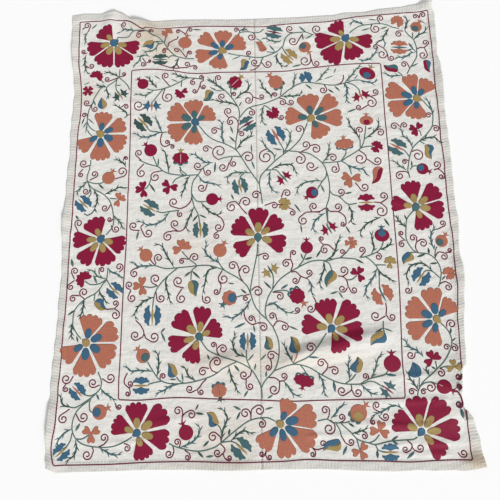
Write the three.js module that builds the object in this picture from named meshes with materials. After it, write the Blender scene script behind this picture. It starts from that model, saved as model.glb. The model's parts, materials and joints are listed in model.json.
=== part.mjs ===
// Suzani: an embroidered cotton cloth, sewn from two loom widths and laid out on a flat surface.
// Millimetres, +Z up out of the cloth's face, +Y towards its top edge.
// The origin is the middle of the cloth's outline, on the surface that it lies on.
import * as THREE from "three";

// Driving dimensions
const SHEET_THICKNESS = 2.0;
const HEM_THICKNESS = 2.8;
const TURNED_THICKNESS = 1.8;
const HEM_WIDTH = 29;
const HEM_STEP = 5;
const SEAM_X = 3;
const SEAM_GAP = 0.3;
const COLUMN_STEP = 47;
const CLOTH_COLOUR = 0xe4e4d8;
const CLOTH_ROUGHNESS = 0.95;

// The four edges as the cloth lies, from corner to corner. They wander because the cloth was
// stretched by its stitching and was not pulled straight.
const TOP_EDGE = [
  { x: -716, y: 841 },
  { x: -665, y: 848 },
  { x: -604, y: 846 },
  { x: -544, y: 849 },
  { x: -516, y: 837 },
  { x: -475, y: 806 },
  { x: -443, y: 804 },
  { x: -288, y: 808 },
  { x: -12, y: 800 },
  { x: 117, y: 801 },
  { x: 312, y: 806 },
  { x: 359, y: 815 },
  { x: 425, y: 814 },
  { x: 500, y: 828 },
  { x: 574, y: 832 },
  { x: 625, y: 842 },
  { x: 695, y: 850 },
];
const BOTTOM_EDGE = [
  { x: -705, y: -831 },
  { x: -667, y: -847 },
  { x: -591, y: -845 },
  { x: -479, y: -843 },
  { x: -363, y: -840 },
  { x: -37, y: -842 },
  { x: 177, y: -841 },
  { x: 350, y: -848 },
  { x: 430, y: -850 },
  { x: 510, y: -846 },
  { x: 561, y: -849 },
  { x: 615, y: -847 },
  { x: 653, y: -850 },
  { x: 716, y: -834 },
];
const LEFT_EDGE = [
  { y: -831, x: -705 },
  { y: -764, x: -711 },
  { y: -714, x: -709 },
  { y: -553, x: -708 },
  { y: -420, x: -702 },
  { y: -362, x: -698 },
  { y: -275, x: -699 },
  { y: -215, x: -695 },
  { y: -67, x: -699 },
  { y: 9, x: -702 },
  { y: 71, x: -698 },
  { y: 167, x: -698 },
  { y: 265, x: -691 },
  { y: 329, x: -695 },
  { y: 501, x: -689 },
  { y: 585, x: -697 },
  { y: 693, x: -708 },
  { y: 803, x: -714 },
  { y: 841, x: -716 },
];
const RIGHT_EDGE = [
  { y: -834, x: 716 },
  { y: -757, x: 710 },
  { y: -711, x: 699 },
  { y: -683, x: 691 },
  { y: -661, x: 672 },
  { y: -648, x: 666 },
  { y: -621, x: 663 },
  { y: -575, x: 671 },
  { y: -534, x: 675 },
  { y: -519, x: 687 },
  { y: -465, x: 692 },
  { y: -409, x: 694 },
  { y: -298, x: 706 },
  { y: -212, x: 711 },
  { y: -131, x: 705 },
  { y: -20, x: 713 },
  { y: 39, x: 708 },
  { y: 228, x: 709 },
  { y: 440, x: 705 },
  { y: 507, x: 706 },
  { y: 578, x: 705 },
  { y: 628, x: 698 },
  { y: 705, x: 701 },
  { y: 800, x: 702 },
  { y: 827, x: 690 },
  { y: 850, x: 695 },
];

// Folds: soft ridges from (x0, y0) to (x1, y1), a height, how far each flank reaches to the left
// and to the right of that run, and how far each end takes to die out (0 runs off the edge).
const FOLDS = [
  // Corner kink
  { x0: -492, y0: 850, x1: -236, y1: 570, height: 17, left: 46, right: 62, fade0: 0, fade1: 190 },
  // Kink's second wave
  { x0: -560, y0: 850, x1: -575, y1: 640, height: 8, left: 50, right: 44, fade0: 0, fade1: 150 },
  // Lower ridge
  { x0: 500, y0: -398, x1: 40, y1: -502, height: 15, left: 62, right: 42, fade0: 150, fade1: 110 },
  // Lower ridge past the seam
  { x0: 12, y0: -472, x1: -240, y1: -522, height: 9, left: 50, right: 40, fade0: 60, fade1: 120 },
  // Rise over the tuck
  { x0: 668, y0: -735, x1: 676, y1: -455, height: 8, left: 120, right: 120, fade0: 70, fade1: 70 },
  // Pull towards the tuck
  { x0: 690, y0: -598, x1: 500, y1: -560, height: 6, left: 40, right: 40, fade0: 40, fade1: 120 },
  // Left hem wave, low
  { x0: -716, y0: -800, x1: -712, y1: -600, height: 13, left: 60, right: 60, fade0: 80, fade1: 90 },
  // Left hem wave, middle
  { x0: -705, y0: -110, x1: -702, y1: 90, height: 8, left: 45, right: 45, fade0: 80, fade1: 80 },
  // Left hem wave, high
  { x0: -712, y0: 560, x1: -720, y1: 790, height: 9, left: 50, right: 50, fade0: 90, fade1: 90 },
  // Right hem wave, low
  { x0: 712, y0: -300, x1: 712, y1: -120, height: 9, left: 50, right: 50, fade0: 80, fade1: 80 },
  // Right hem wave, high
  { x0: 708, y0: 380, x1: 706, y1: 640, height: 7, left: 45, right: 45, fade0: 100, fade1: 100 },
  // Bottom hem wave
  { x0: -230, y0: -846, x1: 20, y1: -846, height: 8, left: 75, right: 75, fade0: 110, fade1: 110 },
  // Bottom right corner
  { x0: 640, y0: -800, x1: 740, y1: -850, height: 14, left: 45, right: 45, fade0: 70, fade1: 0 },
  // Bottom left corner
  { x0: -650, y0: -800, x1: -730, y1: -850, height: 11, left: 45, right: 45, fade0: 60, fade1: 0 },
  // Top right corner
  { x0: 640, y0: 800, x1: 715, y1: 870, height: 12, left: 40, right: 40, fade0: 60, fade1: 0 },
];

// The stretch of right hem that is turned under: how much cloth has gone round the crease.
const TUCK = [
  { y: -686, turned: 0 },
  { y: -675, turned: 4 },
  { y: -665, turned: 8 },
  { y: -654, turned: 13 },
  { y: -640, turned: 20 },
  { y: -610, turned: 29 },
  { y: -580, turned: 29 },
  { y: -558, turned: 22 },
  { y: -545, turned: 17 },
  { y: -534, turned: 12 },
  { y: -524, turned: 7 },
  { y: -514, turned: 3 },
  { y: -504, turned: 0 },
];
// Where the hem's columns fall, as shares of the way in from its raw edge
const HEM_SHARES = [0, 0.2, 0.4, 0.55, 0.68, 0.78, 0.88, 1];
// The turned stretch's innermost column stands at least this far in from the crease
const PAST_CREASE = 2;

// Rows of the surface from the bottom edge up: each band runs to its height in steps of its size.
const LEFT_ROW_BANDS = [
  { to: -560, step: 48 },
  { to: -420, step: 24 },
  { to: 530, step: 62 },
  { to: 812, step: 30 },
];
const RIGHT_ROW_BANDS = [
  { to: -686, step: 30 },
  { to: -630, step: 7 },
  { to: -574, step: 19 },
  { to: -504, step: 7 },
  { to: -370, step: 24 },
  { to: 690, step: 62 },
  { to: 812, step: 40 },
];

// No row stands closer than this to the step of the top hem
const ROW_CLEARANCE = 8;

// A row this share of the panel's length from its end still lies in the end hem
const HEM_MARGIN = 1;
const HEM_SHARE = (HEM_WIDTH + HEM_MARGIN) / (TOP_EDGE[0].y - BOTTOM_EDGE[0].y);

const clamp = (value, low, high) => Math.min(high, Math.max(low, value));
const mix = (a, b, t) => a + (b - a) * t;
const smooth = (t) => t * t * (3 - 2 * t);

// A value read off a table of stations, on a smooth curve that keeps between its neighbours.
function readTable(table, across, column, at) {
  const place = clamp(at, table[0][across], table[table.length - 1][across]);
  let k = 0;
  while (k < table.length - 2 && place > table[k + 1][across]) {
    k += 1;
  }
  const t = (place - table[k][across]) / (table[k + 1][across] - table[k][across]);
  return mix(table[k][column], table[k + 1][column], 0.5 * t + 0.5 * smooth(t));
}

// How high one fold lifts the cloth at a point.
function foldLift(fold, x, y) {
  const length = Math.hypot(fold.x1 - fold.x0, fold.y1 - fold.y0);
  const ux = (fold.x1 - fold.x0) / length;
  const uy = (fold.y1 - fold.y0) / length;
  const along = (x - fold.x0) * ux + (y - fold.y0) * uy;
  const aside = (y - fold.y0) * ux - (x - fold.x0) * uy;
  const reach = aside > 0 ? fold.left : fold.right;
  if (Math.abs(aside) >= reach) {
    return 0;
  }
  const start = fold.fade0 > 0 ? smooth(clamp(along / fold.fade0, 0, 1)) : 1;
  const end = fold.fade1 > 0 ? smooth(clamp((length - along) / fold.fade1, 0, 1)) : 1;
  return fold.height * Math.cos((Math.PI / 2) * (aside / reach)) ** 2 * start * end;
}

const lift = (x, y) => FOLDS.reduce((sum, fold) => sum + foldLift(fold, x, y), 0);

// Distances up a panel: the two steps of the hem at each end and the bands between them.
function rowStations(bands, bottom, top) {
  const rows = [0, HEM_WIDTH, HEM_WIDTH + HEM_STEP];
  let from = bottom + HEM_WIDTH + HEM_STEP;
  for (const band of bands) {
    const count = Math.max(1, Math.round((band.to - from) / band.step));
    for (let k = 1; k <= count; k += 1) {
      rows.push(from - bottom + ((band.to - from) * k) / count);
    }
    from = band.to;
  }
  const length = top - bottom;
  const topStep = length - HEM_WIDTH - HEM_STEP;
  const inner = rows.filter((row) => row < topStep - ROW_CLEARANCE);
  return [...inner, topStep, length - HEM_WIDTH, length].map((row) => row / length);
}

// Distances in from the outer edge, as shares of the panel's width.
function columnStations(width) {
  const turn = HEM_SHARES.map((share) => HEM_WIDTH * share);
  const start = HEM_WIDTH + HEM_STEP;
  const count = Math.round((width - start) / COLUMN_STEP);
  const inner = Array.from({ length: count + 1 }, (_, k) => start + ((width - start) * k) / count);
  return [...turn, ...inner].map((column) => column / width);
}

// A point inside a panel, blended from its four edges. across is 0 at the outer edge, 1 at the seam.
function panelPoint(side, across, up) {
  const outerEdge = side < 0 ? LEFT_EDGE : RIGHT_EDGE;
  const seamX = SEAM_X + (side * SEAM_GAP) / 2;
  const low = outerEdge[0];
  const high = outerEdge[outerEdge.length - 1];
  const seamLow = readTable(BOTTOM_EDGE, "x", "y", seamX);
  const seamHigh = readTable(TOP_EDGE, "x", "y", seamX);
  const bottomX = mix(low.x, seamX, across);
  const topX = mix(high.x, seamX, across);
  const bottomY = readTable(BOTTOM_EDGE, "x", "y", bottomX);
  const topY = readTable(TOP_EDGE, "x", "y", topX);
  const outerY = mix(low.y, high.y, up);
  const outerX = readTable(outerEdge, "y", "x", outerY);
  const bowX = (outerX - mix(low.x, high.x, up)) * (1 - across);
  const bowBottom = bottomY - mix(low.y, seamLow, across);
  const bowTop = topY - mix(high.y, seamHigh, across);
  return {
    x: mix(bottomX, topX, up) + bowX,
    y: mix(mix(low.y, seamLow, across), mix(high.y, seamHigh, across), up) + mix(bowBottom, bowTop, up),
  };
}

// The hem's cross-section where it is turned under. The cloth comes out to the crease, goes round
// it on a radius of half its height there, and what is left runs back in below.
function tuckedPoint(edge, turned, share, side) {
  const radius = lift(edge.x, edge.y) / 2;
  const fullTurn = Math.PI * radius;
  const widest = Math.sin(Math.min(turned / radius, Math.PI / 2));
  const creaseX = edge.x - side * (radius + TURNED_THICKNESS / 2) * widest;
  const hem = Math.max(HEM_WIDTH, turned + PAST_CREASE);
  const gone = turned - hem * share;
  const angle = clamp(gone, 0, fullTurn) / radius;
  const short = Math.max(0, -gone);
  const below = Math.max(0, gone - fullTurn);
  return {
    x: creaseX + side * (radius * Math.sin(angle) - below - short),
    z: TURNED_THICKNESS / 2 + radius * (1 + Math.cos(angle)),
    nx: side * Math.sin(angle),
    nz: Math.cos(angle),
  };
}

// Centre line, face direction and thickness of the cloth at one column of one row.
function sheetPoint(side, columns, i, up) {
  const flat = panelPoint(side, columns[i], up);
  const edge = panelPoint(side, 0, up);
  const inSideHem = i < HEM_SHARES.length;
  const turned = side > 0 ? readTable(TUCK, "y", "turned", edge.y) : 0;
  if (inSideHem && turned > 0) {
    return { y: flat.y, thickness: TURNED_THICKNESS, ...tuckedPoint(edge, turned, HEM_SHARES[i], side) };
  }
  const inHem = inSideHem || up < HEM_SHARE || up > 1 - HEM_SHARE;
  const thickness = inHem ? HEM_THICKNESS : SHEET_THICKNESS;
  return { x: flat.x, y: flat.y, z: lift(flat.x, flat.y) + thickness / 2, nx: 0, nz: 1, thickness };
}

// One closed sheet from its rows of points: face, back and the four narrow sides.
function sheetGeometry(side, bands) {
  const outerEdge = side < 0 ? LEFT_EDGE : RIGHT_EDGE;
  const ups = rowStations(bands, outerEdge[0].y, outerEdge[outerEdge.length - 1].y);
  const columns = columnStations(Math.abs(outerEdge[0].x - SEAM_X));
  const wide = columns.length;
  const positions = [];
  for (const layer of [1, -1]) {
    for (const up of ups) {
      for (let i = 0; i < wide; i += 1) {
        const p = sheetPoint(side, columns, i, up);
        const half = (layer * p.thickness) / 2;
        positions.push(p.x + p.nx * half, p.y, p.z + p.nz * half);
      }
    }
  }
  const rows = ups.length;
  const back = rows * wide;
  const indices = [];
  const quad = (a, b, c, d) => {
    if (side < 0) {
      indices.push(a, b, c, a, c, d);
    } else {
      indices.push(a, c, b, a, d, c);
    }
  };
  for (let j = 0; j < rows - 1; j += 1) {
    for (let i = 0; i < wide - 1; i += 1) {
      const a = j * wide + i;
      quad(a, a + 1, a + 1 + wide, a + wide);
      quad(back + a, back + a + wide, back + a + 1 + wide, back + a + 1);
    }
    const first = j * wide;
    const last = first + wide - 1;
    quad(first, first + wide, back + first + wide, back + first);
    quad(last + wide, last, back + last, back + last + wide);
  }
  for (let i = 0; i < wide - 1; i += 1) {
    const top = (rows - 1) * wide + i;
    quad(i + 1, i, back + i, back + i + 1);
    quad(top, top + 1, back + top + 1, back + top);
  }
  const geometry = new THREE.BufferGeometry();
  geometry.setAttribute("position", new THREE.Float32BufferAttribute(positions, 3));
  geometry.setIndex(indices);
  geometry.computeVertexNormals();
  return geometry;
}

// Cotton ground cloth, the same for both widths
const cotton = new THREE.MeshStandardMaterial({
  color: CLOTH_COLOUR,
  roughness: CLOTH_ROUGHNESS,
  metalness: 0,
});

const suzani = new THREE.Group();

// Left width, with its hems
const panelLeft = new THREE.Mesh(sheetGeometry(-1, LEFT_ROW_BANDS), cotton);
panelLeft.name = "panel_left";
suzani.add(panelLeft);

// Right width, with its hems and the tuck in the right one
const panelRight = new THREE.Mesh(sheetGeometry(1, RIGHT_ROW_BANDS), cotton.clone());
panelRight.name = "panel_right";
suzani.add(panelRight);

export default suzani;
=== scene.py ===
"""Dresses the suzani: the cotton ground in its two loom widths, sewn seam and hems, and the
flowers, fruit, buds, vines and curls worked on it in coloured silk."""

import json
import math
import random
from collections import defaultdict, namedtuple

import bpy
import numpy as np
from bpy.props import FloatProperty, FloatVectorProperty, PointerProperty
from mathutils import Euler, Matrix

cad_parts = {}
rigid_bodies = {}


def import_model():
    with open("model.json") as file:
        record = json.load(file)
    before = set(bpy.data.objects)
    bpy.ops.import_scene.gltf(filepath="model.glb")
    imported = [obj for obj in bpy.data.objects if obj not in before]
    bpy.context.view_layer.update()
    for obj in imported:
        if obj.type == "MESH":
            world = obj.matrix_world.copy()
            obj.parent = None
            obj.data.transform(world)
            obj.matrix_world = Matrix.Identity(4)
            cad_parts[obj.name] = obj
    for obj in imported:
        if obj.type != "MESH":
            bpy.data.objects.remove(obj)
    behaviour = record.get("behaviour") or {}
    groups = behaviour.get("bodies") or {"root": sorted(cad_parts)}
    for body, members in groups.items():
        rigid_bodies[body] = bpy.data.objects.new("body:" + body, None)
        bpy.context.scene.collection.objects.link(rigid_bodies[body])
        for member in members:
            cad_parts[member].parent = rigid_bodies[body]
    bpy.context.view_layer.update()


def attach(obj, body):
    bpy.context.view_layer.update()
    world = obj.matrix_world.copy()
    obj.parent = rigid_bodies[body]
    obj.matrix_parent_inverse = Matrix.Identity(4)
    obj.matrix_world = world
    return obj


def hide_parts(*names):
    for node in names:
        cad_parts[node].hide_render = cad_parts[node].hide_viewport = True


bl_info = {
    "name": "Suzani Cloth",
    "version": (1, 0, 0),
    "blender": (4, 5, 0),
    "location": "View3D > Sidebar > Suzani",
    "description": "Builds an embroidered cotton cloth with couched silk flowers and vines",
    "category": "Object",
}

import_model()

# Cloth sizes below are millimetres; Blender's are metres
MM = 0.001

# Where the photograph was taken from, in the cloth's frame, and how the camera was turned
PHOTO_SIDE = 500
LENS_PIXELS = 430
SENSOR_WIDTH = 36
CAMERA_PLACE = (11.1, -386.6, 1500.0)
CAMERA_TURN = (10.17936, 1.56462, -0.84573)

# The cloth's form, as its solids have it: edges as they lie, folds, and the turned hem
SEAM_X = 3
SEAM_GAP = 0.3
HEM_STEP = 5
PAST_CREASE = 2
TURNED_THICKNESS = 1.8
TOP_EDGE = [
    (-716, 841), (-665, 848), (-604, 846), (-544, 849), (-516, 837), (-475, 806), (-443, 804),
    (-288, 808), (-12, 800), (117, 801), (312, 806), (359, 815), (425, 814), (500, 828),
    (574, 832), (625, 842), (695, 850),
]
BOTTOM_EDGE = [
    (-705, -831), (-667, -847), (-591, -845), (-479, -843), (-363, -840), (-37, -842),
    (177, -841), (350, -848), (430, -850), (510, -846), (561, -849), (615, -847), (653, -850),
    (716, -834),
]
LEFT_EDGE = [
    (-831, -705), (-764, -711), (-714, -709), (-553, -708), (-420, -702), (-362, -698),
    (-275, -699), (-215, -695), (-67, -699), (9, -702), (71, -698), (167, -698), (265, -691),
    (329, -695), (501, -689), (585, -697), (693, -708), (803, -714), (841, -716),
]
RIGHT_EDGE = [
    (-834, 716), (-757, 710), (-711, 699), (-683, 691), (-661, 672), (-648, 666), (-621, 663),
    (-575, 671), (-534, 675), (-519, 687), (-465, 692), (-409, 694), (-298, 706), (-212, 711),
    (-131, 705), (-20, 713), (39, 708), (228, 709), (440, 705), (507, 706), (578, 705),
    (628, 698), (705, 701), (800, 702), (827, 690), (850, 695),
]
TUCK = [
    (-686, 0), (-675, 4), (-665, 8), (-654, 13), (-640, 20), (-610, 29), (-580, 29), (-558, 22),
    (-545, 17), (-534, 12), (-524, 7), (-514, 3), (-504, 0),
]
Fold = namedtuple("Fold", "x0 y0 x1 y1 height left right fade0 fade1")
FOLDS = [
    Fold(-492, 850, -236, 570, 17, 46, 62, 0, 190),  # corner kink
    Fold(-560, 850, -575, 640, 8, 50, 44, 0, 150),  # the kink's second wave
    Fold(500, -398, 40, -502, 15, 62, 42, 150, 110),  # lower ridge
    Fold(12, -472, -240, -522, 9, 50, 40, 60, 120),  # lower ridge past the seam
    Fold(668, -735, 676, -455, 8, 120, 120, 70, 70),  # rise over the tuck
    Fold(690, -598, 500, -560, 6, 40, 40, 40, 120),  # pull towards the tuck
    Fold(-716, -800, -712, -600, 13, 60, 60, 80, 90),  # left hem wave, low
    Fold(-705, -110, -702, 90, 8, 45, 45, 80, 80),  # left hem wave, middle
    Fold(-712, 560, -720, 790, 9, 50, 50, 90, 90),  # left hem wave, high
    Fold(712, -300, 712, -120, 9, 50, 50, 80, 80),  # right hem wave, low
    Fold(708, 380, 706, 640, 7, 45, 45, 100, 100),  # right hem wave, high
    Fold(-230, -846, 20, -846, 8, 75, 75, 110, 110),  # bottom hem wave
    Fold(640, -800, 740, -850, 14, 45, 45, 70, 0),  # bottom right corner
    Fold(-650, -800, -730, -850, 11, 45, 45, 60, 0),  # bottom left corner
    Fold(640, 800, 715, 870, 12, 40, 40, 60, 0),  # top right corner
]


def paint(red, green, blue):
    """A colour given as it looks on a screen, 0 to 255, as the linear colour that Blender takes."""
    shades = [c / 255 for c in (red, green, blue)]
    return tuple(c / 12.92 if c <= 0.04045 else ((c + 0.055) / 1.055) ** 2.4 for c in shades)


def size(name, description, default, **more):
    """A length that a user may change, in metres."""
    return FloatProperty(name=name, description=description, default=default, min=0.0,
                         unit="LENGTH", precision=4, **more)


def colour(name, description, shade):
    """A colour that a user may change."""
    return FloatVectorProperty(name=name, description=description, default=paint(*shade),
                               min=0.0, max=1.0, size=3, subtype="COLOR")


class SuzaniSizes(bpy.types.PropertyGroup):
    """Sizes of the cloth and of the stitching on it."""

    sheet: size("Sheet", "Thickness of the worked cotton", 0.002)
    hem: size("Hem thickness", "Thickness of the doubled cotton in the hems", 0.0028)
    hem_width: size("Hem width", "Width of the plain hem round the cloth", 0.029)
    cell: size("Mesh cell", "Spacing of the points that the ground cloth is made of", 0.0062)
    relief: size("Stitch relief", "How far the silk stands proud of the cotton", 0.0009)
    sunk: size("Stitch root", "How deep the stitching goes into the cotton", 0.0007)
    frame_line: size("Frame line", "Width of the lines that frame the field", 0.0052)
    vine: size("Vine", "Width of a vine's line of chain stitch", 0.0056)
    curl: size("Curl", "Width of a curl's line of chain stitch", 0.0055)
    row_pitch: size("Row pitch", "Spacing of the couched rows of silk", 0.0032)
    weave_pitch: size("Weave pitch", "Spacing of the cotton's threads", 0.0012)
    stitch: size("Sewing stitch", "Length of a sewing stitch in the seam and the hems", 0.006)
    thread: size("Sewing thread", "Width of the sewing thread", 0.0015)


class SuzaniColours(bpy.types.PropertyGroup):
    """Colours of the cotton and of the silks."""

    ground: colour("Ground", "Undyed cotton of the field", (231, 229, 224))
    hem: colour("Hem", "The cotton where it is doubled in the hems", (210, 208, 201))
    # The toned colour is the warm brown of the painted shade under the folds and corners, and of the
    # cotton's cross slubs
    toned: colour("Toned", "Where handling has browned the cotton", (204, 188, 164))
    crimson: colour("Crimson", "Crimson silk", (137, 10, 54))
    orange: colour("Orange", "Orange silk", (181, 111, 89))
    mustard: colour("Mustard", "Mustard silk", (166, 141, 88))
    blue: colour("Blue", "Indigo blue silk", (60, 102, 129))
    teal: colour("Teal", "Blue green silk", (70, 105, 109))
    green: colour("Green", "Grey green silk of the vines", (84, 111, 104))
    dark: colour("Dark green", "Dark green silk", (57, 84, 79))
    plum: colour("Plum", "Plum silk of the frames and curls", (108, 22, 56))
    cream: colour("Cream", "Undyed sewing thread", (226, 220, 204))
    floor: colour("Floor", "The pale floor", (250, 250, 250))


def mm(length):
    """One of the sizes above in millimetres."""
    return length / MM


def sizes():
    return bpy.context.scene.suzani_sizes


def smooth(t):
    return t * t * (3 - 2 * t)


def read_table(table, at):
    """Reads a curve through (place, value) stations, half straight and half eased."""
    places, values = np.array(table, float).T
    at = np.clip(at, places[0], places[-1])
    k = np.clip(np.searchsorted(places, at) - 1, 0, len(places) - 2)
    t = (at - places[k]) / (places[k + 1] - places[k])
    return values[k] + (values[k + 1] - values[k]) * (0.5 * t + 0.5 * smooth(t))


def fold_lift(fold, x, y):
    """How high one fold lifts the cloth at these places."""
    length = math.hypot(fold.x1 - fold.x0, fold.y1 - fold.y0)
    ux = (fold.x1 - fold.x0) / length
    uy = (fold.y1 - fold.y0) / length
    along = (x - fold.x0) * ux + (y - fold.y0) * uy
    aside = (y - fold.y0) * ux - (x - fold.x0) * uy
    reach = np.where(aside > 0, fold.left, fold.right)
    start = smooth(np.clip(along / fold.fade0, 0, 1)) if fold.fade0 else 1
    end = smooth(np.clip((length - along) / fold.fade1, 0, 1)) if fold.fade1 else 1
    share = np.clip(np.abs(aside) / reach, 0, 1)
    return fold.height * np.cos(math.pi / 2 * share) ** 2 * start * end


def lift(x, y):
    """How high the main folds lift the cloth."""
    return sum(fold_lift(fold, x, y) for fold in FOLDS)


# Fine relief: soft creases too slight for the solids, and the puckers that the hems' sewing pulls
CREASES = [
    Fold(330, -560, 640, -548, 2.0, 16, 20, 60, 60),
    Fold(300, -640, 660, -628, 2.4, 20, 16, 70, 60),
    Fold(260, -700, 600, -716, 2.0, 18, 18, 70, 70),
    Fold(360, -770, 690, -762, 1.8, 18, 16, 60, 50),
    Fold(-120, -60, 130, -48, 1.2, 16, 16, 60, 60),
    Fold(-140, 40, 120, 70, 1.2, 16, 18, 60, 60),
    Fold(-110, 150, 150, 140, 1.1, 18, 16, 60, 60),
    Fold(-640, -300, -430, -350, 1.6, 20, 20, 70, 70),
    Fold(-620, 120, -420, 90, 1.4, 20, 20, 70, 70),
    Fold(450, 330, 650, 300, 1.5, 20, 20, 70, 70),
    Fold(430, 60, 660, 20, 1.5, 20, 22, 70, 70),
    Fold(-400, -700, -120, -660, 1.6, 22, 22, 80, 80),
    Fold(-560, 480, -330, 430, 1.6, 24, 20, 80, 80),
    Fold(60, 690, 330, 720, 1.5, 20, 22, 80, 80),
    Fold(-495, 838, -330, 670, 1.4, 12, 36, 20, 60),
    Fold(-430, 760, -260, 640, 1.0, 14, 26, 40, 60),
    Fold(470, -455, 210, -505, 1.2, 12, 20, 60, 60),
    Fold(200, -440, 30, -540, 1.6, 14, 20, 60, 60),
    Fold(300, -590, 470, -570, 1.8, 12, 16, 50, 50),
    Fold(120, -740, 330, -735, 1.5, 12, 16, 60, 60),
    Fold(420, -800, 640, -795, 1.6, 12, 14, 60, 60),
    Fold(-560, -760, -330, -750, 1.3, 14, 18, 60, 60),
]
CREASE_GAIN = 1.6
Swell = namedtuple("Swell", "height length heading phase")
SWELLS = [
    Swell(0.55, 310, 25, 0.4),
    Swell(0.45, 190, 100, 1.9),
    Swell(0.35, 130, 155, 3.1),
    Swell(0.25, 96, 62, 5.0),
]
PUCKER_PITCH = 66
PUCKER_DEPTH = 44
PUCKER_HEIGHT = 2.6
PUCKER_RIB = 10


def relief(x, y):
    """The cloth's slight unevenness, in millimetres above its folds."""
    rise = CREASE_GAIN * sum(fold_lift(crease, x, y) for crease in CREASES)
    for swell in SWELLS:
        turn = math.radians(swell.heading)
        way = (x * math.cos(turn) + y * math.sin(turn)) / swell.length
        rise = rise + swell.height * (0.5 + 0.5 * np.sin(2 * math.pi * way + swell.phase))
    for edge, phase in ((LEFT_EDGE, 0.0), (RIGHT_EDGE, 2.1)):
        inward = np.abs(x - read_table(edge, y))
        wander = phase + 1.3 * np.sin(y / 171) + 0.8 * np.sin(y / 67 + 1)
        wave = 0.5 + 0.5 * np.sin(2 * math.pi * y / PUCKER_PITCH + wander)
        rise = rise + PUCKER_HEIGHT * wave * np.exp(-((inward / PUCKER_DEPTH) ** 2))
    return rise


def thickness(x, y):
    """The cloth's thickness: the sheet, the doubled hem, and the hem's rounded outer crease."""
    inward = edge_distance(x, y)
    hem = mm(sizes().hem)
    turned = smooth(np.clip((mm(sizes().hem_width) + HEM_STEP - inward) / HEM_STEP, 0, 1))
    full = mm(sizes().sheet) + (hem - mm(sizes().sheet)) * turned
    rounded = np.clip(inward / hem, 0, 1)
    return full * (0.4 + 0.6 * np.sqrt(1 - (1 - rounded) ** 2))


def edge_distance(x, y):
    """How far in from the nearest edge of the cloth a place lies."""
    sides = (
        x - read_table(LEFT_EDGE, y),
        read_table(RIGHT_EDGE, y) - x,
        y - read_table(BOTTOM_EDGE, x),
        read_table(TOP_EDGE, x) - y,
    )
    return np.clip(np.minimum.reduce(sides), 0, None)


def face(x, y):
    """Height of the cloth's upper face, in millimetres."""
    return lift(x, y) + relief(x, y) + thickness(x, y)


def on_cloth(pixels):
    """Where the camera's rays through places of the photograph meet the cloth, in millimetres."""
    pixels = np.atleast_2d(np.asarray(pixels, float))
    middle = PHOTO_SIDE / 2
    turn = np.array(Euler([math.radians(a) for a in CAMERA_TURN]).to_matrix())
    ahead = -np.ones(len(pixels))
    rays = np.stack([(pixels[:, 0] - middle) / LENS_PIXELS,
                     (middle - pixels[:, 1]) / LENS_PIXELS, ahead], 1) @ turn.T
    place = np.array(CAMERA_PLACE)
    height = np.zeros(len(pixels))
    for _ in range(5):
        spot = place[:2] + rays[:, :2] * ((height - place[2]) / rays[:, 2])[:, None]
        height = face(spot[:, 0], spot[:, 1])
    return spot


# The motifs' sizes were read at this many millimetres to a pixel, all over the photograph
READ_SCALE = 3.5


def nearness(spot):
    """What a size read at READ_SCALE is multiplied by here: more where the camera is farther."""
    turn = np.array(Euler([math.radians(a) for a in CAMERA_TURN]).to_matrix())
    away = np.array([*spot, 0.0]) - CAMERA_PLACE
    return -(away @ turn)[2] / (LENS_PIXELS * READ_SCALE)


def spot_and_scale(row):
    """Where a motif's middle lies on the cloth, and what its sizes are multiplied by there."""
    spot = on_cloth([(row.u, row.v)])[0]
    return spot, nearness(spot)


# Making meshes


class Stitching:
    """Raised, closed shapes worked in one silk, gathered into one piece."""

    def __init__(self):
        self.points, self.faces, self.grain, self.rim = [], [], [], []
        self.count = 0

    def add(self, plan, above, faces, grain, rim):
        """Lays points, given in plan with their height above the cloth, and the faces on them."""
        height = face(plan[:, 0], plan[:, 1]) + above
        self.points.append(np.column_stack([plan, height]))
        self.faces += [tuple(self.count + i for i in one) for one in faces]
        self.grain.append(grain)
        self.rim.append(rim)
        self.count += len(plan)

    def make(self, name, silk):
        """The finished piece, riding on the cloth, in its silk."""
        piece = mesh_piece(name, np.concatenate(self.points), self.faces)
        write_uv(piece, np.concatenate(self.grain) * MM)
        write_attribute(piece, "rim", np.concatenate(self.rim))
        piece.data.materials.append(silk_material(silk))
        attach(piece, "root")


def make_all(kind, works):
    """Finishes one piece for each silk that a kind of motif is worked in."""
    for silk, work in works.items():
        work.make(kind + silk, silk)


def mesh_piece(name, points, faces):
    """A smooth-shaded mesh object from points in millimetres."""
    mesh = bpy.data.meshes.new(name)
    mesh.from_pydata((np.asarray(points, float) * MM).tolist(), [], faces)
    mesh.polygons.foreach_set("use_smooth", np.ones(len(mesh.polygons), bool))
    mesh.update()
    piece = bpy.data.objects.new(name, mesh)
    bpy.context.scene.collection.objects.link(piece)
    return piece


def write_uv(piece, places):
    """Gives each corner of a mesh the place on the fabric that its point has, in metres."""
    mesh = piece.data
    corners = np.zeros(len(mesh.loops), np.int64)
    mesh.loops.foreach_get("vertex_index", corners)
    layer = mesh.uv_layers.new(name="fabric")
    layer.data.foreach_set("uv", places[corners].astype(np.float32).ravel())


def write_attribute(piece, name, values):
    layer = piece.data.attributes.new(name, "FLOAT", "POINT")
    layer.data.foreach_set("value", np.asarray(values, np.float32))


# A filled shape's rounded edge: how far in, its share of the relief, and how dark its rim is painted,
# as painted shade where the silk slopes down into the cotton
EDGE_RINGS = ((0.7, 0.8, 1.0), (2.2, 1.0, 0.9), (3.4, 1.05, 0.0))
EDGE_ROOM = 0.6
CROWNED = 1.1


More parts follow.
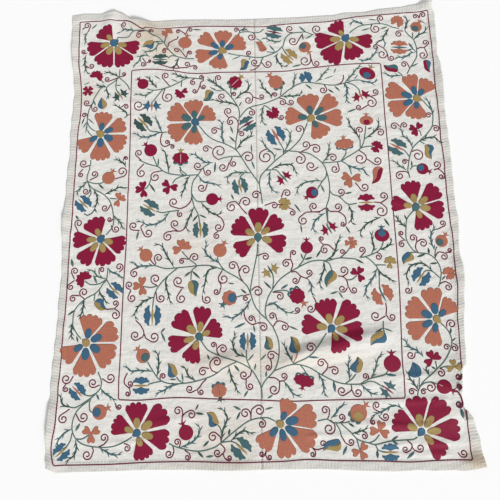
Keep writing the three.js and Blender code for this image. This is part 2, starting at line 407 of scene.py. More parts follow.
def blob(work, outline, heart, grain_turn=0.0, height=None, inner=(0.62, 0.3)):
    """A filled shape round its heart, its edge rounded down into the cotton."""
    high = mm(sizes().relief) if height is None else height
    sunk = mm(sizes().sunk)
    outline = np.asarray(outline, float)
    heart = np.asarray(heart, float)
    arm = outline - heart
    reach = np.linalg.norm(arm, axis=1)[:, None]
    count = len(outline)
    rings = [outline]
    heights = [-sunk]
    rims = [1.0]
    for inset, rise, rim in EDGE_RINGS:
        if inset < reach.min() * EDGE_ROOM:
            rings.append(heart + arm * (1 - inset / reach))
            heights.append(high * rise)
            rims.append(rim)
    top_rings = [heart + arm * share for share in inner]
    rings += top_rings
    heights += [high * CROWNED] * len(inner)
    rims += [0.0] * len(inner)
    rings.append(heart[None, :])
    heights.append(high * CROWNED)
    rims.append(0.0)
    low = rings[:1] + top_rings + [heart[None, :]]
    faces = []
    starts = np.cumsum([0] + [len(ring) for ring in rings])
    for k in range(len(rings) - 2):
        a, b = starts[k], starts[k + 1]
        faces += [(a + i, a + (i + 1) % count, b + (i + 1) % count, b + i) for i in range(count)]
    a, tip = starts[-3], starts[-2]
    faces += [(a + i, a + (i + 1) % count, tip) for i in range(count)]
    base = starts[-1]
    for k in range(len(top_rings)):
        a = base + (k - 1) * count if k else 0
        b = base + k * count
        faces += [(a + (i + 1) % count, a + i, b + i, b + (i + 1) % count) for i in range(count)]
    a = base + (len(top_rings) - 1) * count
    tip = base + len(top_rings) * count
    faces += [(a + (i + 1) % count, a + i, tip) for i in range(count)]
    plan = np.concatenate(rings + low[1:])
    above = np.concatenate([np.full(len(r), h) for r, h in zip(rings, heights)]
                           + [np.full(len(r), -sunk) for r in low[1:]])
    rim = np.concatenate([np.full(len(r), m) for r, m in zip(rings, rims)]
                         + [np.zeros(len(r)) for r in low[1:]])
    work.add(plan, above, faces, turned(plan - heart, -grain_turn), rim)


# A line's points are this far apart; its band stands highest between its shoulders
STITCH_STEP = 4.5
SHOULDERS = (0.26, 0.74)


def lengths(path):
    """How far along a path each of its points is."""
    steps = np.linalg.norm(np.diff(path, axis=0), axis=1)
    return np.concatenate([[0], np.cumsum(steps)])


def strip(work, left, right, height=None):
    """A raised band between two rims that run side by side, closed below and at both ends."""
    high = mm(sizes().relief) if height is None else height
    sunk = mm(sizes().sunk)
    left = np.asarray(left, float)
    right = np.asarray(right, float)
    count = len(left)
    columns = [left] + [left + (right - left) * share for share in SHOULDERS] + [right]
    plan = np.stack(columns, 1).reshape(-1, 2)
    rise = np.full((count, 4), high)
    rise[:, 0] = -sunk
    rise[:, 3] = -sunk
    rise[0] *= np.array([1, 0.5, 0.5, 1])
    rise[-1] *= np.array([1, 0.5, 0.5, 1])
    faces = []
    for i in range(count - 1):
        a, b = 4 * i, 4 * i + 4
        faces += [(a + k, a + (k + 1) % 4, b + (k + 1) % 4, b + k) for k in range(4)]
    faces.append((0, 3, 2, 1))
    last = 4 * count - 4
    faces.append((last, last + 1, last + 2, last + 3))
    width = np.linalg.norm(right - left, axis=1)
    across = np.stack([width * share for share in (-0.5, -0.24, 0.24, 0.5)], 1)
    grain = np.column_stack([np.repeat(lengths((left + right) / 2), 4), across.ravel()])
    # The rim marks the band's edges, where painted shade darkens the silk
    rim = np.tile([1.0, 0.0, 0.0, 1.0], count)
    work.add(plan, rise.ravel(), faces, grain, rim)


def tangents(path):
    run = np.gradient(path, axis=0)
    return run / np.maximum(np.linalg.norm(run, axis=1), 1e-9)[:, None]


def band(work, path, half, height=None):
    """A raised band along a path; half is how far it reaches to either side at each point."""
    run = tangents(path)
    aside = np.column_stack([-run[:, 1], run[:, 0]]) * half[:, None]
    strip(work, path + aside, path - aside, height)


def line(work, path, width, height=None, taper=0.0):
    """A stitched line along a path, in millimetres; taper is how far its ends thin out."""
    half = np.full(len(path), width / 2)
    if taper:
        along = lengths(path)
        ends = np.minimum(along, along[-1] - along)
        half = half * (0.35 + 0.65 * np.clip(ends / taper, 0, 1))
    band(work, path, half, height)


def spline(a, b, c, d, t):
    """The smooth stretch from b to c of a path that comes from a and goes on to d."""
    return 0.5 * (2 * b + (c - a) * t + (2 * a - 5 * b + 4 * c - d) * t ** 2
                  + (3 * b - a - 3 * c + d) * t ** 3)


def curve_through(points, step=STITCH_STEP):
    """A smooth path through points, at about even steps."""
    points = np.asarray(points, float)
    if len(points) == 2:
        count = max(2, int(np.linalg.norm(points[1] - points[0]) / step) + 1)
        return points[0] + (points[1] - points[0]) * np.linspace(0, 1, count)[:, None]
    ends = [2 * points[0] - points[1], *points, 2 * points[-1] - points[-2]]
    path = []
    for a, b, c, d in zip(ends, ends[1:], ends[2:], ends[3:]):
        count = max(2, int(np.linalg.norm(c - b) / step) + 1)
        t = np.linspace(0, 1, count, endpoint=False)[:, None]
        path.append(spline(a, b, c, d, t))
    return np.concatenate(path + [points[-1:]])


def turned(points, degrees):
    """Points turned round the origin, anticlockwise from above."""
    angle = math.radians(degrees)
    c, s = math.cos(angle), math.sin(angle)
    return np.asarray(points, float) @ np.array([[c, s], [-s, c]])


def placed(points, spot, heading):
    """A shape drawn along +X, turned to a heading clockwise from the cloth's right, and moved."""
    return turned(points, -heading) + spot


# Finishes


def new_material(name):
    material = bpy.data.materials.new(name)
    material.use_nodes = True
    nodes = material.node_tree.nodes
    return material, nodes, material.node_tree.links, nodes["Principled BSDF"]


def attribute(nodes, name):
    node = nodes.new("ShaderNodeAttribute")
    node.attribute_name = name
    return node.outputs["Fac"]


def noise(nodes, links, place, scale, detail=3.0, stretch=(1, 1, 1)):
    """Soft random variation, scale per metre."""
    mapping = nodes.new("ShaderNodeMapping")
    mapping.inputs["Scale"].default_value = stretch
    links.new(place, mapping.inputs["Vector"])
    node = nodes.new("ShaderNodeTexNoise")
    node.inputs["Scale"].default_value = scale
    node.inputs["Detail"].default_value = detail
    links.new(mapping.outputs["Vector"], node.inputs["Vector"])
    return node.outputs["Fac"]


def bands(nodes, links, place, pitch, direction, turn=0.0, distortion=0.0):
    """Ridges at a pitch in metres."""
    mapping = nodes.new("ShaderNodeMapping")
    mapping.inputs["Rotation"].default_value[2] = turn
    links.new(place, mapping.inputs["Vector"])
    node = nodes.new("ShaderNodeTexWave")
    node.bands_direction = direction
    node.inputs["Scale"].default_value = math.pi / (10 * pitch)
    node.inputs["Distortion"].default_value = distortion
    links.new(mapping.outputs["Vector"], node.inputs["Vector"])
    return node.outputs["Fac"]


def mixed(nodes, links, amount, a, b):
    """Colour a where amount is 0 and b where it is 1. Each is a socket or a colour."""
    node = nodes.new("ShaderNodeMix")
    node.data_type = "RGBA"
    links.new(amount, node.inputs["Factor"])
    for value, key in ((a, "A"), (b, "B")):
        socket = next(s for s in node.inputs if s.name == key and s.type == "RGBA")
        if isinstance(value, bpy.types.NodeSocket):
            links.new(value, socket)
        else:
            socket.default_value = (*value, 1)
    return next(s for s in node.outputs if s.type == "RGBA")


def times(nodes, links, a, b):
    node = nodes.new("ShaderNodeMath")
    node.operation = "MULTIPLY"
    links.new(a, node.inputs[0])
    links.new(b, node.inputs[1])
    return node.outputs["Value"]


def ranged(nodes, links, value, low, high, to_low=0.0, to_high=1.0):
    node = nodes.new("ShaderNodeMapRange")
    node.inputs["From Min"].default_value = low
    node.inputs["From Max"].default_value = high
    node.inputs["To Min"].default_value = to_low
    node.inputs["To Max"].default_value = to_high
    links.new(value, node.inputs["Value"])
    return node.outputs["Result"]


def bumped(nodes, links, shader, layers):
    """Chains height layers of (socket, distance in metres, strength) into the shader's normal."""
    normal = None
    for height, distance, strength in layers:
        node = nodes.new("ShaderNodeBump")
        node.inputs["Distance"].default_value = distance
        node.inputs["Strength"].default_value = strength
        links.new(height, node.inputs["Height"])
        if normal:
            links.new(normal, node.inputs["Normal"])
        normal = node.outputs["Normal"]
    links.new(normal, shader.inputs["Normal"])


def shaded(shade, factor):
    return tuple(min(1.0, c * factor) for c in shade)


def silk_material(name):
    """Silk laid in rows and couched down: ridged rows, slanting stitches, uneven dye, and painted shade
    along its edges where it slopes down into the cotton.
    """
    found = bpy.data.materials.get("silk_" + name)
    if found:
        return found
    shade = tuple(getattr(bpy.context.scene.suzani_colours, name))
    material, nodes, links, shader = new_material("silk_" + name)
    place = nodes.new("ShaderNodeUVMap")
    place.uv_map = "fabric"
    uv = place.outputs["UV"]
    pitch = sizes().row_pitch
    rows = bands(nodes, links, uv, pitch, "Y")
    stitches = bands(nodes, links, uv, pitch * 0.6, "X", turn=0.7, distortion=0.6)
    streaks = noise(nodes, links, uv, 60, stretch=(1, 6, 1))
    patches = noise(nodes, links, uv, 38, detail=2.0)
    specks = noise(nodes, links, uv, 230, detail=2.0)
    worn = mixed(nodes, links, ranged(nodes, links, streaks, 0.3, 0.7), shaded(shade, 0.78),
                 shaded(shade, 1.2))
    worn = mixed(nodes, links, ranged(nodes, links, specks, 0.52, 0.66, 0.0, 0.6), worn,
                 shaded(shade, 0.55))
    dyed = mixed(nodes, links, ranged(nodes, links, patches, 0.35, 0.75, 0.0, 0.55), worn,
                 shaded(shade, 0.92))
    # Painted shade: the silk is darkened along its edges, where it slopes down into the cotton
    edge_shaded = mixed(nodes, links, ranged(nodes, links, attribute(nodes, "rim"), 0.5, 1.0, 0.0, 0.5),
                  dyed, shaded(shade, 0.42))
    links.new(edge_shaded, shader.inputs["Base Color"])
    shader.inputs["Roughness"].default_value = 0.62
    shader.inputs["Sheen Weight"].default_value = 0.06
    shader.inputs["Sheen Roughness"].default_value = 0.4
    shader.inputs["Specular IOR Level"].default_value = 0.22
    bumped(nodes, links, shader, [(rows, 0.0005, 0.55), (stitches, 0.00025, 0.5)])
    return material


def cotton_material():
    """Undyed handwoven cotton: a plain weave with slubs, greyer in the hems, with warm painted shade
    under the folds and in the corners, and painted shade in its crease lines and in the grooves of the
    hem puckers.
    """
    shades = bpy.context.scene.suzani_colours
    material, nodes, links, shader = new_material("cotton_ground")
    place = nodes.new("ShaderNodeUVMap")
    place.uv_map = "fabric"
    uv = place.outputs["UV"]
    pitch = sizes().weave_pitch
    warp = bands(nodes, links, uv, pitch, "X", distortion=0.4)
    weft = bands(nodes, links, uv, pitch, "Y", distortion=0.4)
    slub = noise(nodes, links, uv, 55, detail=4.0, stretch=(4, 0.6, 1))
    slub_across = noise(nodes, links, uv, 55, detail=4.0, stretch=(0.6, 4, 1))
    mottle = noise(nodes, links, uv, 14, detail=5.0)
    ground = mixed(nodes, links, ranged(nodes, links, mottle, 0.3, 0.7), tuple(shades.ground),
                   shaded(tuple(shades.ground), 0.93))
    ground = mixed(nodes, links, ranged(nodes, links, slub, 0.55, 0.8, 0.0, 0.35), ground,
                   tuple(shades.hem))
    ground = mixed(nodes, links, ranged(nodes, links, slub_across, 0.55, 0.8, 0.0, 0.3), ground,
                   tuple(shades.toned))
    hemmed = mixed(nodes, links, attribute(nodes, "hem"), ground, tuple(shades.hem))
    crinkle = noise(nodes, links, uv, 26, detail=5.0, stretch=(0.7, 1.3, 1))
    creased = noise(nodes, links, uv, 95, detail=3.0, stretch=(1, 0.4, 1))
    # Painted shade: the crease lines are darkened in the colour as well as in the bump
    hemmed = mixed(nodes, links, ranged(nodes, links, creased, 0.5, 0.7, 0.0, 0.5), hemmed,
                   shaded(tuple(shades.ground), 0.84))
    broken = ranged(nodes, links, noise(nodes, links, uv, 48, detail=3.0), 0.35, 0.65)
    pitch = PUCKER_RIB * MM
    side = times(nodes, links, bands(nodes, links, uv, pitch, "Y", distortion=5.0),
                 attribute(nodes, "side_hem"))
    end = times(nodes, links, bands(nodes, links, uv, pitch, "X", distortion=5.0),
                attribute(nodes, "end_hem"))
    # Painted shade: the grooves of the hem puckers are darkened in the colour as well as in the bump
    for ribs in (side, end):
        depth = times(nodes, links, broken, ranged(nodes, links, ribs, 0.45, 1.0, 0.0, 0.6))
        hemmed = mixed(nodes, links, depth, hemmed, shaded(tuple(shades.hem), 0.76))
    # Painted shade: warm brown where the patches of shade under the folds and corners fall
    toned = mixed(nodes, links, attribute(nodes, "toned"), hemmed, tuple(shades.toned))
    links.new(toned, shader.inputs["Base Color"])
    shader.inputs["Roughness"].default_value = 0.93
    shader.inputs["Sheen Weight"].default_value = 0.12
    shader.inputs["Specular IOR Level"].default_value = 0.2
    bumped(nodes, links, shader, [
        (crinkle, 0.009, 0.6),
        (creased, 0.0022, 0.6),
        (side, 0.0012, 0.6),
        (end, 0.0012, 0.6),
        (slub, 0.0004, 0.5),
        (slub_across, 0.0004, 0.5),
        (warp, 0.0002, 0.45),
        (weft, 0.0002, 0.45),
    ])
    return material


# The ground cloth

# Warm brown painted on the cotton, mostly painted shade: under the corner kink, along the lower ridge,
# at the turned bottom right corner, and a painted cast shadow over the bottom hem, with two more warm
# patches at the left hem and in the field; a place, how far it reaches, how strong it is
Tone = namedtuple("Tone", "x y across up strength")
WARM_SHADE_PATCHES = [
    Tone(-400, 740, 90, 60, 0.8),
    Tone(-330, 660, 70, 40, 0.6),
    Tone(120, -500, 260, 45, 0.3),
    Tone(-130, -505, 150, 45, 0.3),
    Tone(-120, -740, 150, 110, 0.28),
    Tone(690, -815, 40, 30, 0.9),
    Tone(-640, 500, 60, 60, 0.3),
    Tone(-230, -80, 90, 120, 0.2),
]


def panel_point(side, across, up):
    """A place in a loom width, blended from its four edges; across is 0 at the outer edge."""
    edge = LEFT_EDGE if side < 0 else RIGHT_EDGE
    seam = SEAM_X + side * SEAM_GAP / 2
    (low_y, low_x), (high_y, high_x) = edge[0], edge[-1]
    seam_low = read_table(BOTTOM_EDGE, seam)
    seam_high = read_table(TOP_EDGE, seam)
    bottom_x = low_x + (seam - low_x) * across
    top_x = high_x + (seam - high_x) * across
    outer_x = read_table(edge, low_y + (high_y - low_y) * up)
    bow = (outer_x - (low_x + (high_x - low_x) * up)) * (1 - across)
    flat_low = low_y + (seam_low - low_y) * across
    flat_high = high_y + (seam_high - high_y) * across
    bow_low = read_table(BOTTOM_EDGE, bottom_x) - flat_low
    bow_high = read_table(TOP_EDGE, top_x) - flat_high
    x = bottom_x + (top_x - bottom_x) * up + bow
    y = flat_low + (flat_high - flat_low) * up + bow_low + (bow_high - bow_low) * up
    return x, y


def stations(length, ends):
    """Shares along a length: close together in the hem at one end or both, even between."""
    cell = mm(sizes().cell)
    hem = mm(sizes().hem_width)
    start = hem + HEM_STEP
    lead = [0, 0.6, 1.6, 3.2, 6, 10, 14, 18, 22, 26, hem, hem + HEM_STEP / 2]
    stop = length - start if ends == 2 else length
    count = round((stop - start) / cell)
    inner = np.linspace(start, stop, count + 1)
    tail = [length - d for d in reversed(lead)] if ends == 2 else []
    return np.concatenate([lead, inner, tail]) / length


def tucked(distance, edge_x, edge_y, turned_length):
    """The turned stretch of the right hem: out to the crease, round it, and back in below."""
    radius = lift(edge_x, edge_y) / 2
    widest = np.sin(np.minimum(turned_length / radius, math.pi / 2))
    crease = edge_x - (radius + TURNED_THICKNESS / 2) * widest
    hem = np.maximum(mm(sizes().hem_width), turned_length + PAST_CREASE)
    gone = turned_length - hem * distance / mm(sizes().hem_width)
    angle = np.clip(gone, 0, math.pi * radius) / radius
    short = np.maximum(0, -gone)
    below = np.maximum(0, gone - math.pi * radius)
    x = crease + radius * np.sin(angle) - below - short
    z = TURNED_THICKNESS / 2 + radius * (1 + np.cos(angle))
    return x, z, np.sin(angle), np.cos(angle)


def lay_panel(side):
    """One loom width: a closed sheet with its hems, laid on the cloth's folds."""
    edge = LEFT_EDGE if side < 0 else RIGHT_EDGE
    width = abs(edge[0][1] - SEAM_X)
    length = edge[-1][0] - edge[0][0]
    across = stations(width, 1)
    up = stations(length, 2)
    grid_across, grid_up = np.meshgrid(across, up)
    x, y = panel_point(side, grid_across, grid_up)
    base = lift(x, y) + relief(x, y)
    thick = thickness(x, y)
    near_seam = np.clip(np.abs(x - SEAM_X) / 4, 0, 1)
    thick = thick * (0.72 + 0.28 * np.sqrt(near_seam))
    top = np.stack([x, y, base + thick], -1)
    low = np.stack([x, y, base], -1)
    if side > 0:
        fold_under(top, low, across * width, up)
    rows, wide = x.shape
    points = np.concatenate([top.reshape(-1, 3), low.reshape(-1, 3)])
    faces = sheet_faces(rows, wide, side < 0)
    piece = mesh_piece("cotton_left" if side < 0 else "cotton_right", points, faces)
    fabric = np.column_stack([(grid_across * width).ravel(), (grid_up * length).ravel()]) * MM
    write_uv(piece, np.concatenate([fabric, fabric]))
    inward = edge_distance(x, y)
    hem = smooth(np.clip((mm(sizes().hem_width) + 2 - inward) / 3, 0, 1)) * 0.8
    # Painted shade: the warm patches, mostly shade under the folds and a cast shadow, laid as a point
    # attribute
    toned = sum(t.strength * np.exp(-((x - t.x) / t.across) ** 2 - ((y - t.y) / t.up) ** 2)
                for t in WARM_SHADE_PATCHES)
    beside = np.minimum(x - read_table(LEFT_EDGE, y), read_table(RIGHT_EDGE, y) - x) <= inward + 0.01
    layers = {"hem": hem, "toned": np.clip(toned, 0, 1), "side_hem": hem * beside,
              "end_hem": hem * ~beside}
    for name, values in layers.items():
        write_attribute(piece, name, np.concatenate([values.ravel()] * 2))
    return piece


def fold_under(top, low, distance, up):
    """Turns the right hem under where it is tucked."""
    edge_x, edge_y = panel_point(1, np.zeros_like(up), up)
    turned_length = read_table(TUCK, edge_y)
    hem_columns = np.flatnonzero(distance <= mm(sizes().hem_width) + 0.01)
    for j in np.flatnonzero(turned_length > 0.01):
        d = distance[hem_columns]
        x, z, nx, nz = tucked(d, edge_x[j], edge_y[j], turned_length[j])
        half = TURNED_THICKNESS / 2
        top[j, hem_columns, 0] = x + nx * half
        top[j, hem_columns, 2] = z + nz * half
        low[j, hem_columns, 0] = x - nx * half
        low[j, hem_columns, 2] = z - nz * half


def sheet_faces(rows, wide, left_handed):
    """Face, back and the four narrow sides of a sheet of rows of points."""
    back = rows * wide
    faces = []

    def quad(a, b, c, d):
        faces.append((a, b, c, d) if left_handed else (a, d, c, b))

    for j in range(rows - 1):
        for i in range(wide - 1):
            a = j * wide + i
            quad(a, a + 1, a + 1 + wide, a + wide)
            quad(back + a, back + a + wide, back + a + 1 + wide, back + a + 1)
        first = j * wide
        last = first + wide - 1
        quad(first, first + wide, back + first + wide, back + first)
        quad(last + wide, last, back + last, back + last + wide)
    for i in range(wide - 1):
        top = (rows - 1) * wide + i
        quad(i + 1, i, back + i, back + i + 1)
        quad(top, top + 1, back + top + 1, back + top)
    return faces


class SUZANI_OT_lay_ground(bpy.types.Operator):
    """Lay the two loom widths of cotton with their hems"""

    bl_idname = "suzani.lay_ground"
    bl_label = "Lay Ground"
    bl_options = {"REGISTER", "UNDO"}

    def execute(self, context):
        cotton = cotton_material()
        for side, node in ((-1, "panel_left"), (1, "panel_right")):
            piece = lay_panel(side)
            piece.data.materials.append(cotton)
            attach(piece, "root")
            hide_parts(node)
        return {"FINISHED"}


# Frames

OUTER_TOP = [(80, 22), (100, 21.3), (126, 20.7), (142, 28.2), (150, 27.4), (200, 26.5), (258, 26.9),
             (275, 25.3), (300, 23.2), (325, 22), (345, 18.7), (358, 16.6), (380, 14.9),
             (413, 12.4), (427.8, 10.3)]
OUTER_RIGHT = [(427.8, 10.3), (430, 33), (433, 58), (435, 83), (438, 108), (439.5, 124), (441, 141),
               (443.6, 157), (445, 174), (447, 195), (450, 219.5), (453, 240), (455, 265),
               (457.8, 290), (457.4, 315), (459.4, 339.5), (461, 360), (462, 369)]
OUTER_RIGHT_LOW = [(465.5, 409), (467, 414), (469.4, 438), (473, 460.3)]
OUTER_BOTTOM = [(473, 460.3), (436, 460.5), (411, 462), (380, 461), (341, 460.7), (308, 459.6),
                (280, 461.6), (241, 462.8), (191, 461.6), (148, 462.4), (106, 464.5), (53.3, 466)]
OUTER_LEFT = [(53.3, 466), (51, 450), (54, 430), (56, 413), (58, 388), (60.7, 364), (63, 331),
              (65.7, 306), (68, 273), (70, 240), (72, 219.5), (73.6, 195), (76.5, 153),
              (78.6, 128), (80, 120), (81.5, 99.5), (81, 83), (79, 66), (79, 50), (80, 22)]
INNER_TOP = [(131.7, 70.5), (150, 69.2), (171, 70.5), (187, 73), (204, 73.4), (225, 72.3),
             (280, 71.5), (300, 69.2), (333, 65.5), (358, 63.7), (380.6, 63.4)]
INNER_RIGHT = [(380.6, 63.4), (383, 91), (385, 118), (387.3, 141), (389.8, 170), (391.8, 195),
               (394, 219.5), (396.4, 246), (399, 281), (400.6, 315), (402.2, 358), (404.3, 380),
               (405.4, 398.1)]
INNER_BOTTOM = [(405.4, 398.1), (380, 399), (325, 400.2), (291, 401.3), (262, 400.2), (216, 399),
                (183, 397.7), (167, 398.1), (139.5, 400.2), (118.4, 399.8)]
INNER_LEFT = [(118.4, 399.8), (118.8, 380), (120, 360), (121.7, 323), (123.8, 281), (126.2, 244),
              (127.1, 220), (128.8, 178), (130, 145), (130.8, 99), (131.7, 70.5)]


def joined(*sides):
    """One path along several sides, rounded where they meet."""
    path = []
    for side in sides:
        way = curve_through(on_cloth(side))
        path.append(way[1:-1])
    return np.concatenate(path)


class SUZANI_OT_work_frames(bpy.types.Operator):
    """Work the outer frame line and the frame of the field"""

    bl_idname = "suzani.work_frames"
    bl_label = "Work Frames"
    bl_options = {"REGISTER", "UNDO"}

    def execute(self, context):
        work = Stitching()
        width = mm(sizes().frame_line)
        line(work, joined(OUTER_RIGHT_LOW, OUTER_BOTTOM, OUTER_LEFT, OUTER_TOP, OUTER_RIGHT), width)
        inner = joined(INNER_TOP, INNER_RIGHT, INNER_BOTTOM, INNER_LEFT)
        line(work, np.concatenate([inner, inner[:2]]), width)
        work.make("frame_lines", "plum")
        return {"FINISHED"}


# Rosettes: five broad scalloped petals, each from one heading to another with its reach

Rosette = namedtuple("Rosette", "u v silk heart drop drop_heading petals")
ROSETTES = [
    Rosette(114, 43, "crimson", "mustard", "blue", -40,
            [(-5, 33, 92), (38, 85, 99), (91, 141, 97), (147, 185, 97), (200, 262, 76)]),
    Rosette(222, 50.5, "orange", "blue", "mustard", 25,
            [(200, 236, 98), (246, 302, 79), (311, 360, 89), (72, 136, 73), (147, 184, 96)]),
    Rosette(345.2, 38.3, "crimson", "mustard", "blue", -48,
            [(-9, 29, 96), (39, 95, 88), (104, 151, 112), (157, 195, 108), (208, 267, 75)]),
    Rosette(100.6, 134, "orange", "blue", "mustard", 213,
            [(250, 303, 84), (316, 356, 95), (5, 52, 100), (64, 112, 100), (124, 164, 92)]),
    Rosette(195, 121.8, "orange", "teal", "blue", 45,
            [(237, 293, 85), (300, 358, 78), (68, 120, 86), (128, 175, 103), (184, 232, 105)]),
    Rosette(416.8, 98.3, "orange", "blue", "mustard", 25,
            [(181, 220, 113), (236, 277, 95), (282, 332, 85), (64, 130, 80), (135, 174, 108)]),
    Rosette(311.3, 118, "orange", "teal", "mustard", 135,
            [(163, 212, 93), (233, 292, 93), (302, 334, 116), (-19, 20, 110), (30, 92, 83)]),
    Rosette(100.7, 239.3, "crimson", "mustard", "blue", -50,
            [(212, 280, 85), (160, 199, 100), (110, 147, 107), (49, 101, 97), (-8, 41, 91)]),
    Rosette(416, 206.7, "crimson", "mustard", "teal", 125,
            [(236, 286, 97), (300, 341, 108), (-13, 31, 100), (46, 98, 87), (169, 213, 88)]),
    Rosette(258, 237, "crimson", "mustard", "teal", 90,
            [(-4, 40, 102), (124, 167, 95), (186, 237, 102), (249, 295, 107), (302, 341, 105)]),
    Rosette(86.2, 343, "orange", "blue", "mustard", 220,
            [(252, 308, 101), (315, 357, 118), (4, 57, 115), (67, 114, 116), (125, 171, 97)]),
    Rosette(199, 336.6, "crimson", "mustard", "teal", 45,
            [(200, 245, 113), (257, 298, 106), (306, 364, 86), (87, 134, 95), (147, 182, 112)]),
    Rosette(331.7, 328.3, "crimson", "mustard", "blue", 130,
            [(232, 284, 106), (296, 337, 120), (-14, 28, 110), (41, 96, 88), (168, 212, 107)]),
    Rosette(436.7, 319, "orange", "blue", "mustard", 50,
            [(241, 286, 112), (183, 231, 114), (292, 341, 90), (82, 125, 95), (135, 174, 114)]),
    Rosette(421.5, 431.7, "crimson", "mustard", "blue", 130,
            [(181, 231, 108), (242, 286, 121), (293, 328, 137), (-21, 15, 136), (27, 68, 108)]),
    Rosette(280.5, 424, "orange", "blue", "mustard", 205,
            [(270, 318, 90), (-35, 7, 130), (12, 50, 137), (59, 98, 115), (112, 154, 106)]),
    Rosette(137, 433, "crimson", "mustard", "blue", 147,
            [(176, 226, 96), (241, 293, 104), (303, 344, 128), (-6, 33, 117), (45, 97, 93)]),
]
# A rosette's proportions: the gap is millimetres and the swell degrees, the heart's drop is
# millimetres, an inner petal's length and greatest width are shares of its petal's reach, and
# each rise is a share of the stitch relief
PETAL_GAP = 5
PETAL_SWELL = 3
FOUR_LOBES_OVER = 46
LOBE_DEPTH = 0.085
INNER_PETAL = (0.38, 0.25)
INNER_PETAL_AT = 0.33
INNER_RISE = 1.5
DROP_RADIUS = 14
DROP_POINT = 1.45
DROP_RISE = 1.9


def petal_outline(start, stop, reach, lobes, rng):
    """A petal's edge about the rosette's middle: straight flanks and a scalloped outer end."""
    middle = -(start + stop) / 2
    half = (stop - start) / 2
    flank = np.linspace(0.16, 0.84, 6)
    cuts = [-1.0] + [-1 + 2 * (k + rng.uniform(-0.16, 0.16)) / lobes for k in range(1, lobes)]
    cuts.append(1.0)
    across = np.concatenate([np.linspace(a, b, 8, endpoint=False) for a, b in zip(cuts, cuts[1:])]
                            + [[1.0]])
    phase = np.interp(across, cuts, range(lobes + 1))
    scallop = np.abs(np.sin(math.pi * phase)) ** 0.6
    inner_cut = (across > -0.999) & (across < 0.999)
    depth = np.where(inner_cut, LOBE_DEPTH, 0.0)
    shoulder = 0.84 + 0.16 * np.sqrt(np.clip(1 - np.abs(across) ** 3.2, 0, 1))
    radius = np.concatenate([flank, shoulder * (1 - depth * (1 - scallop)), flank[::-1]]) * reach
    share = np.concatenate([np.full(6, -1.0), across, np.full(6, 1.0)])
    spread = half + PETAL_SWELL - np.degrees(PETAL_GAP / 2 / radius)
    angle = np.radians(middle + share * spread)
    outline = np.column_stack([radius * np.cos(angle), radius * np.sin(angle)])
    heart = 0.6 * reach * np.array([math.cos(math.radians(middle)), math.sin(math.radians(middle))])
    return outline, heart, middle


def ahead(angle, spread):
    """1 straight along +X, and dying out to either side."""
    return np.exp(-(((angle + math.pi) % (2 * math.pi) - math.pi) / spread) ** 2)


def ellipse(length, width, count=18, notch=0.0):
    """An oval along +X about its middle, notched at its outer end for a lobed one."""
    angle = np.linspace(0, 2 * math.pi, count, endpoint=False)
    dip = 1 - notch * ahead(angle, 0.45)
    return np.column_stack([length / 2 * np.cos(angle) * dip, width / 2 * np.sin(angle)])


def drop_outline(radius, point):
    """A round drop with a point along +X."""
    angle = np.linspace(0, 2 * math.pi, 20, endpoint=False)
    reach = radius * (1 + (point - 1) * ahead(angle, 0.35))
    return np.column_stack([reach * np.cos(angle), reach * np.sin(angle)])


class SUZANI_OT_work_rosettes(bpy.types.Operator):
    """Work the large rosettes with their inner petals and hearts"""

    bl_idname = "suzani.work_rosettes"
    bl_label = "Work Rosettes"
    bl_options = {"REGISTER", "UNDO"}

    def execute(self, context):
        rng = random.Random(7)
        petals = defaultdict(Stitching)
        hearts = defaultdict(Stitching)
        relief_height = mm(sizes().relief)
        for row in ROSETTES:
            spot, scale = spot_and_scale(row)
            for start, stop, read_reach in row.petals:
                reach = read_reach * scale
                lobes = 4 if stop - start > FOUR_LOBES_OVER else 3
                outline, heart, middle = petal_outline(start, stop, reach, lobes, rng)
                blob(petals[row.silk], outline + spot, heart + spot, middle, inner=(0.72, 0.48, 0.24))
                centre = spot + INNER_PETAL_AT * reach * heart / np.linalg.norm(heart)
                broad = min(INNER_PETAL[1], (stop - start) / 180) * reach
                small = placed(ellipse(INNER_PETAL[0] * reach, broad, notch=0.08), centre, -middle)
                blob(hearts[row.heart], small, centre, middle, relief_height * INNER_RISE, (0.5,))
            drop = placed(drop_outline(DROP_RADIUS * scale, DROP_POINT), spot, row.drop_heading)
            blob(hearts[row.drop], drop, spot, 0, relief_height * DROP_RISE, (0.5,))
        make_all("rosette_petals_", petals)
        make_all("rosette_hearts_", hearts)
        return {"FINISHED"}


# Pomegranates: a round or scalloped fruit, its crown, a spot of a second silk, sepals at its foot

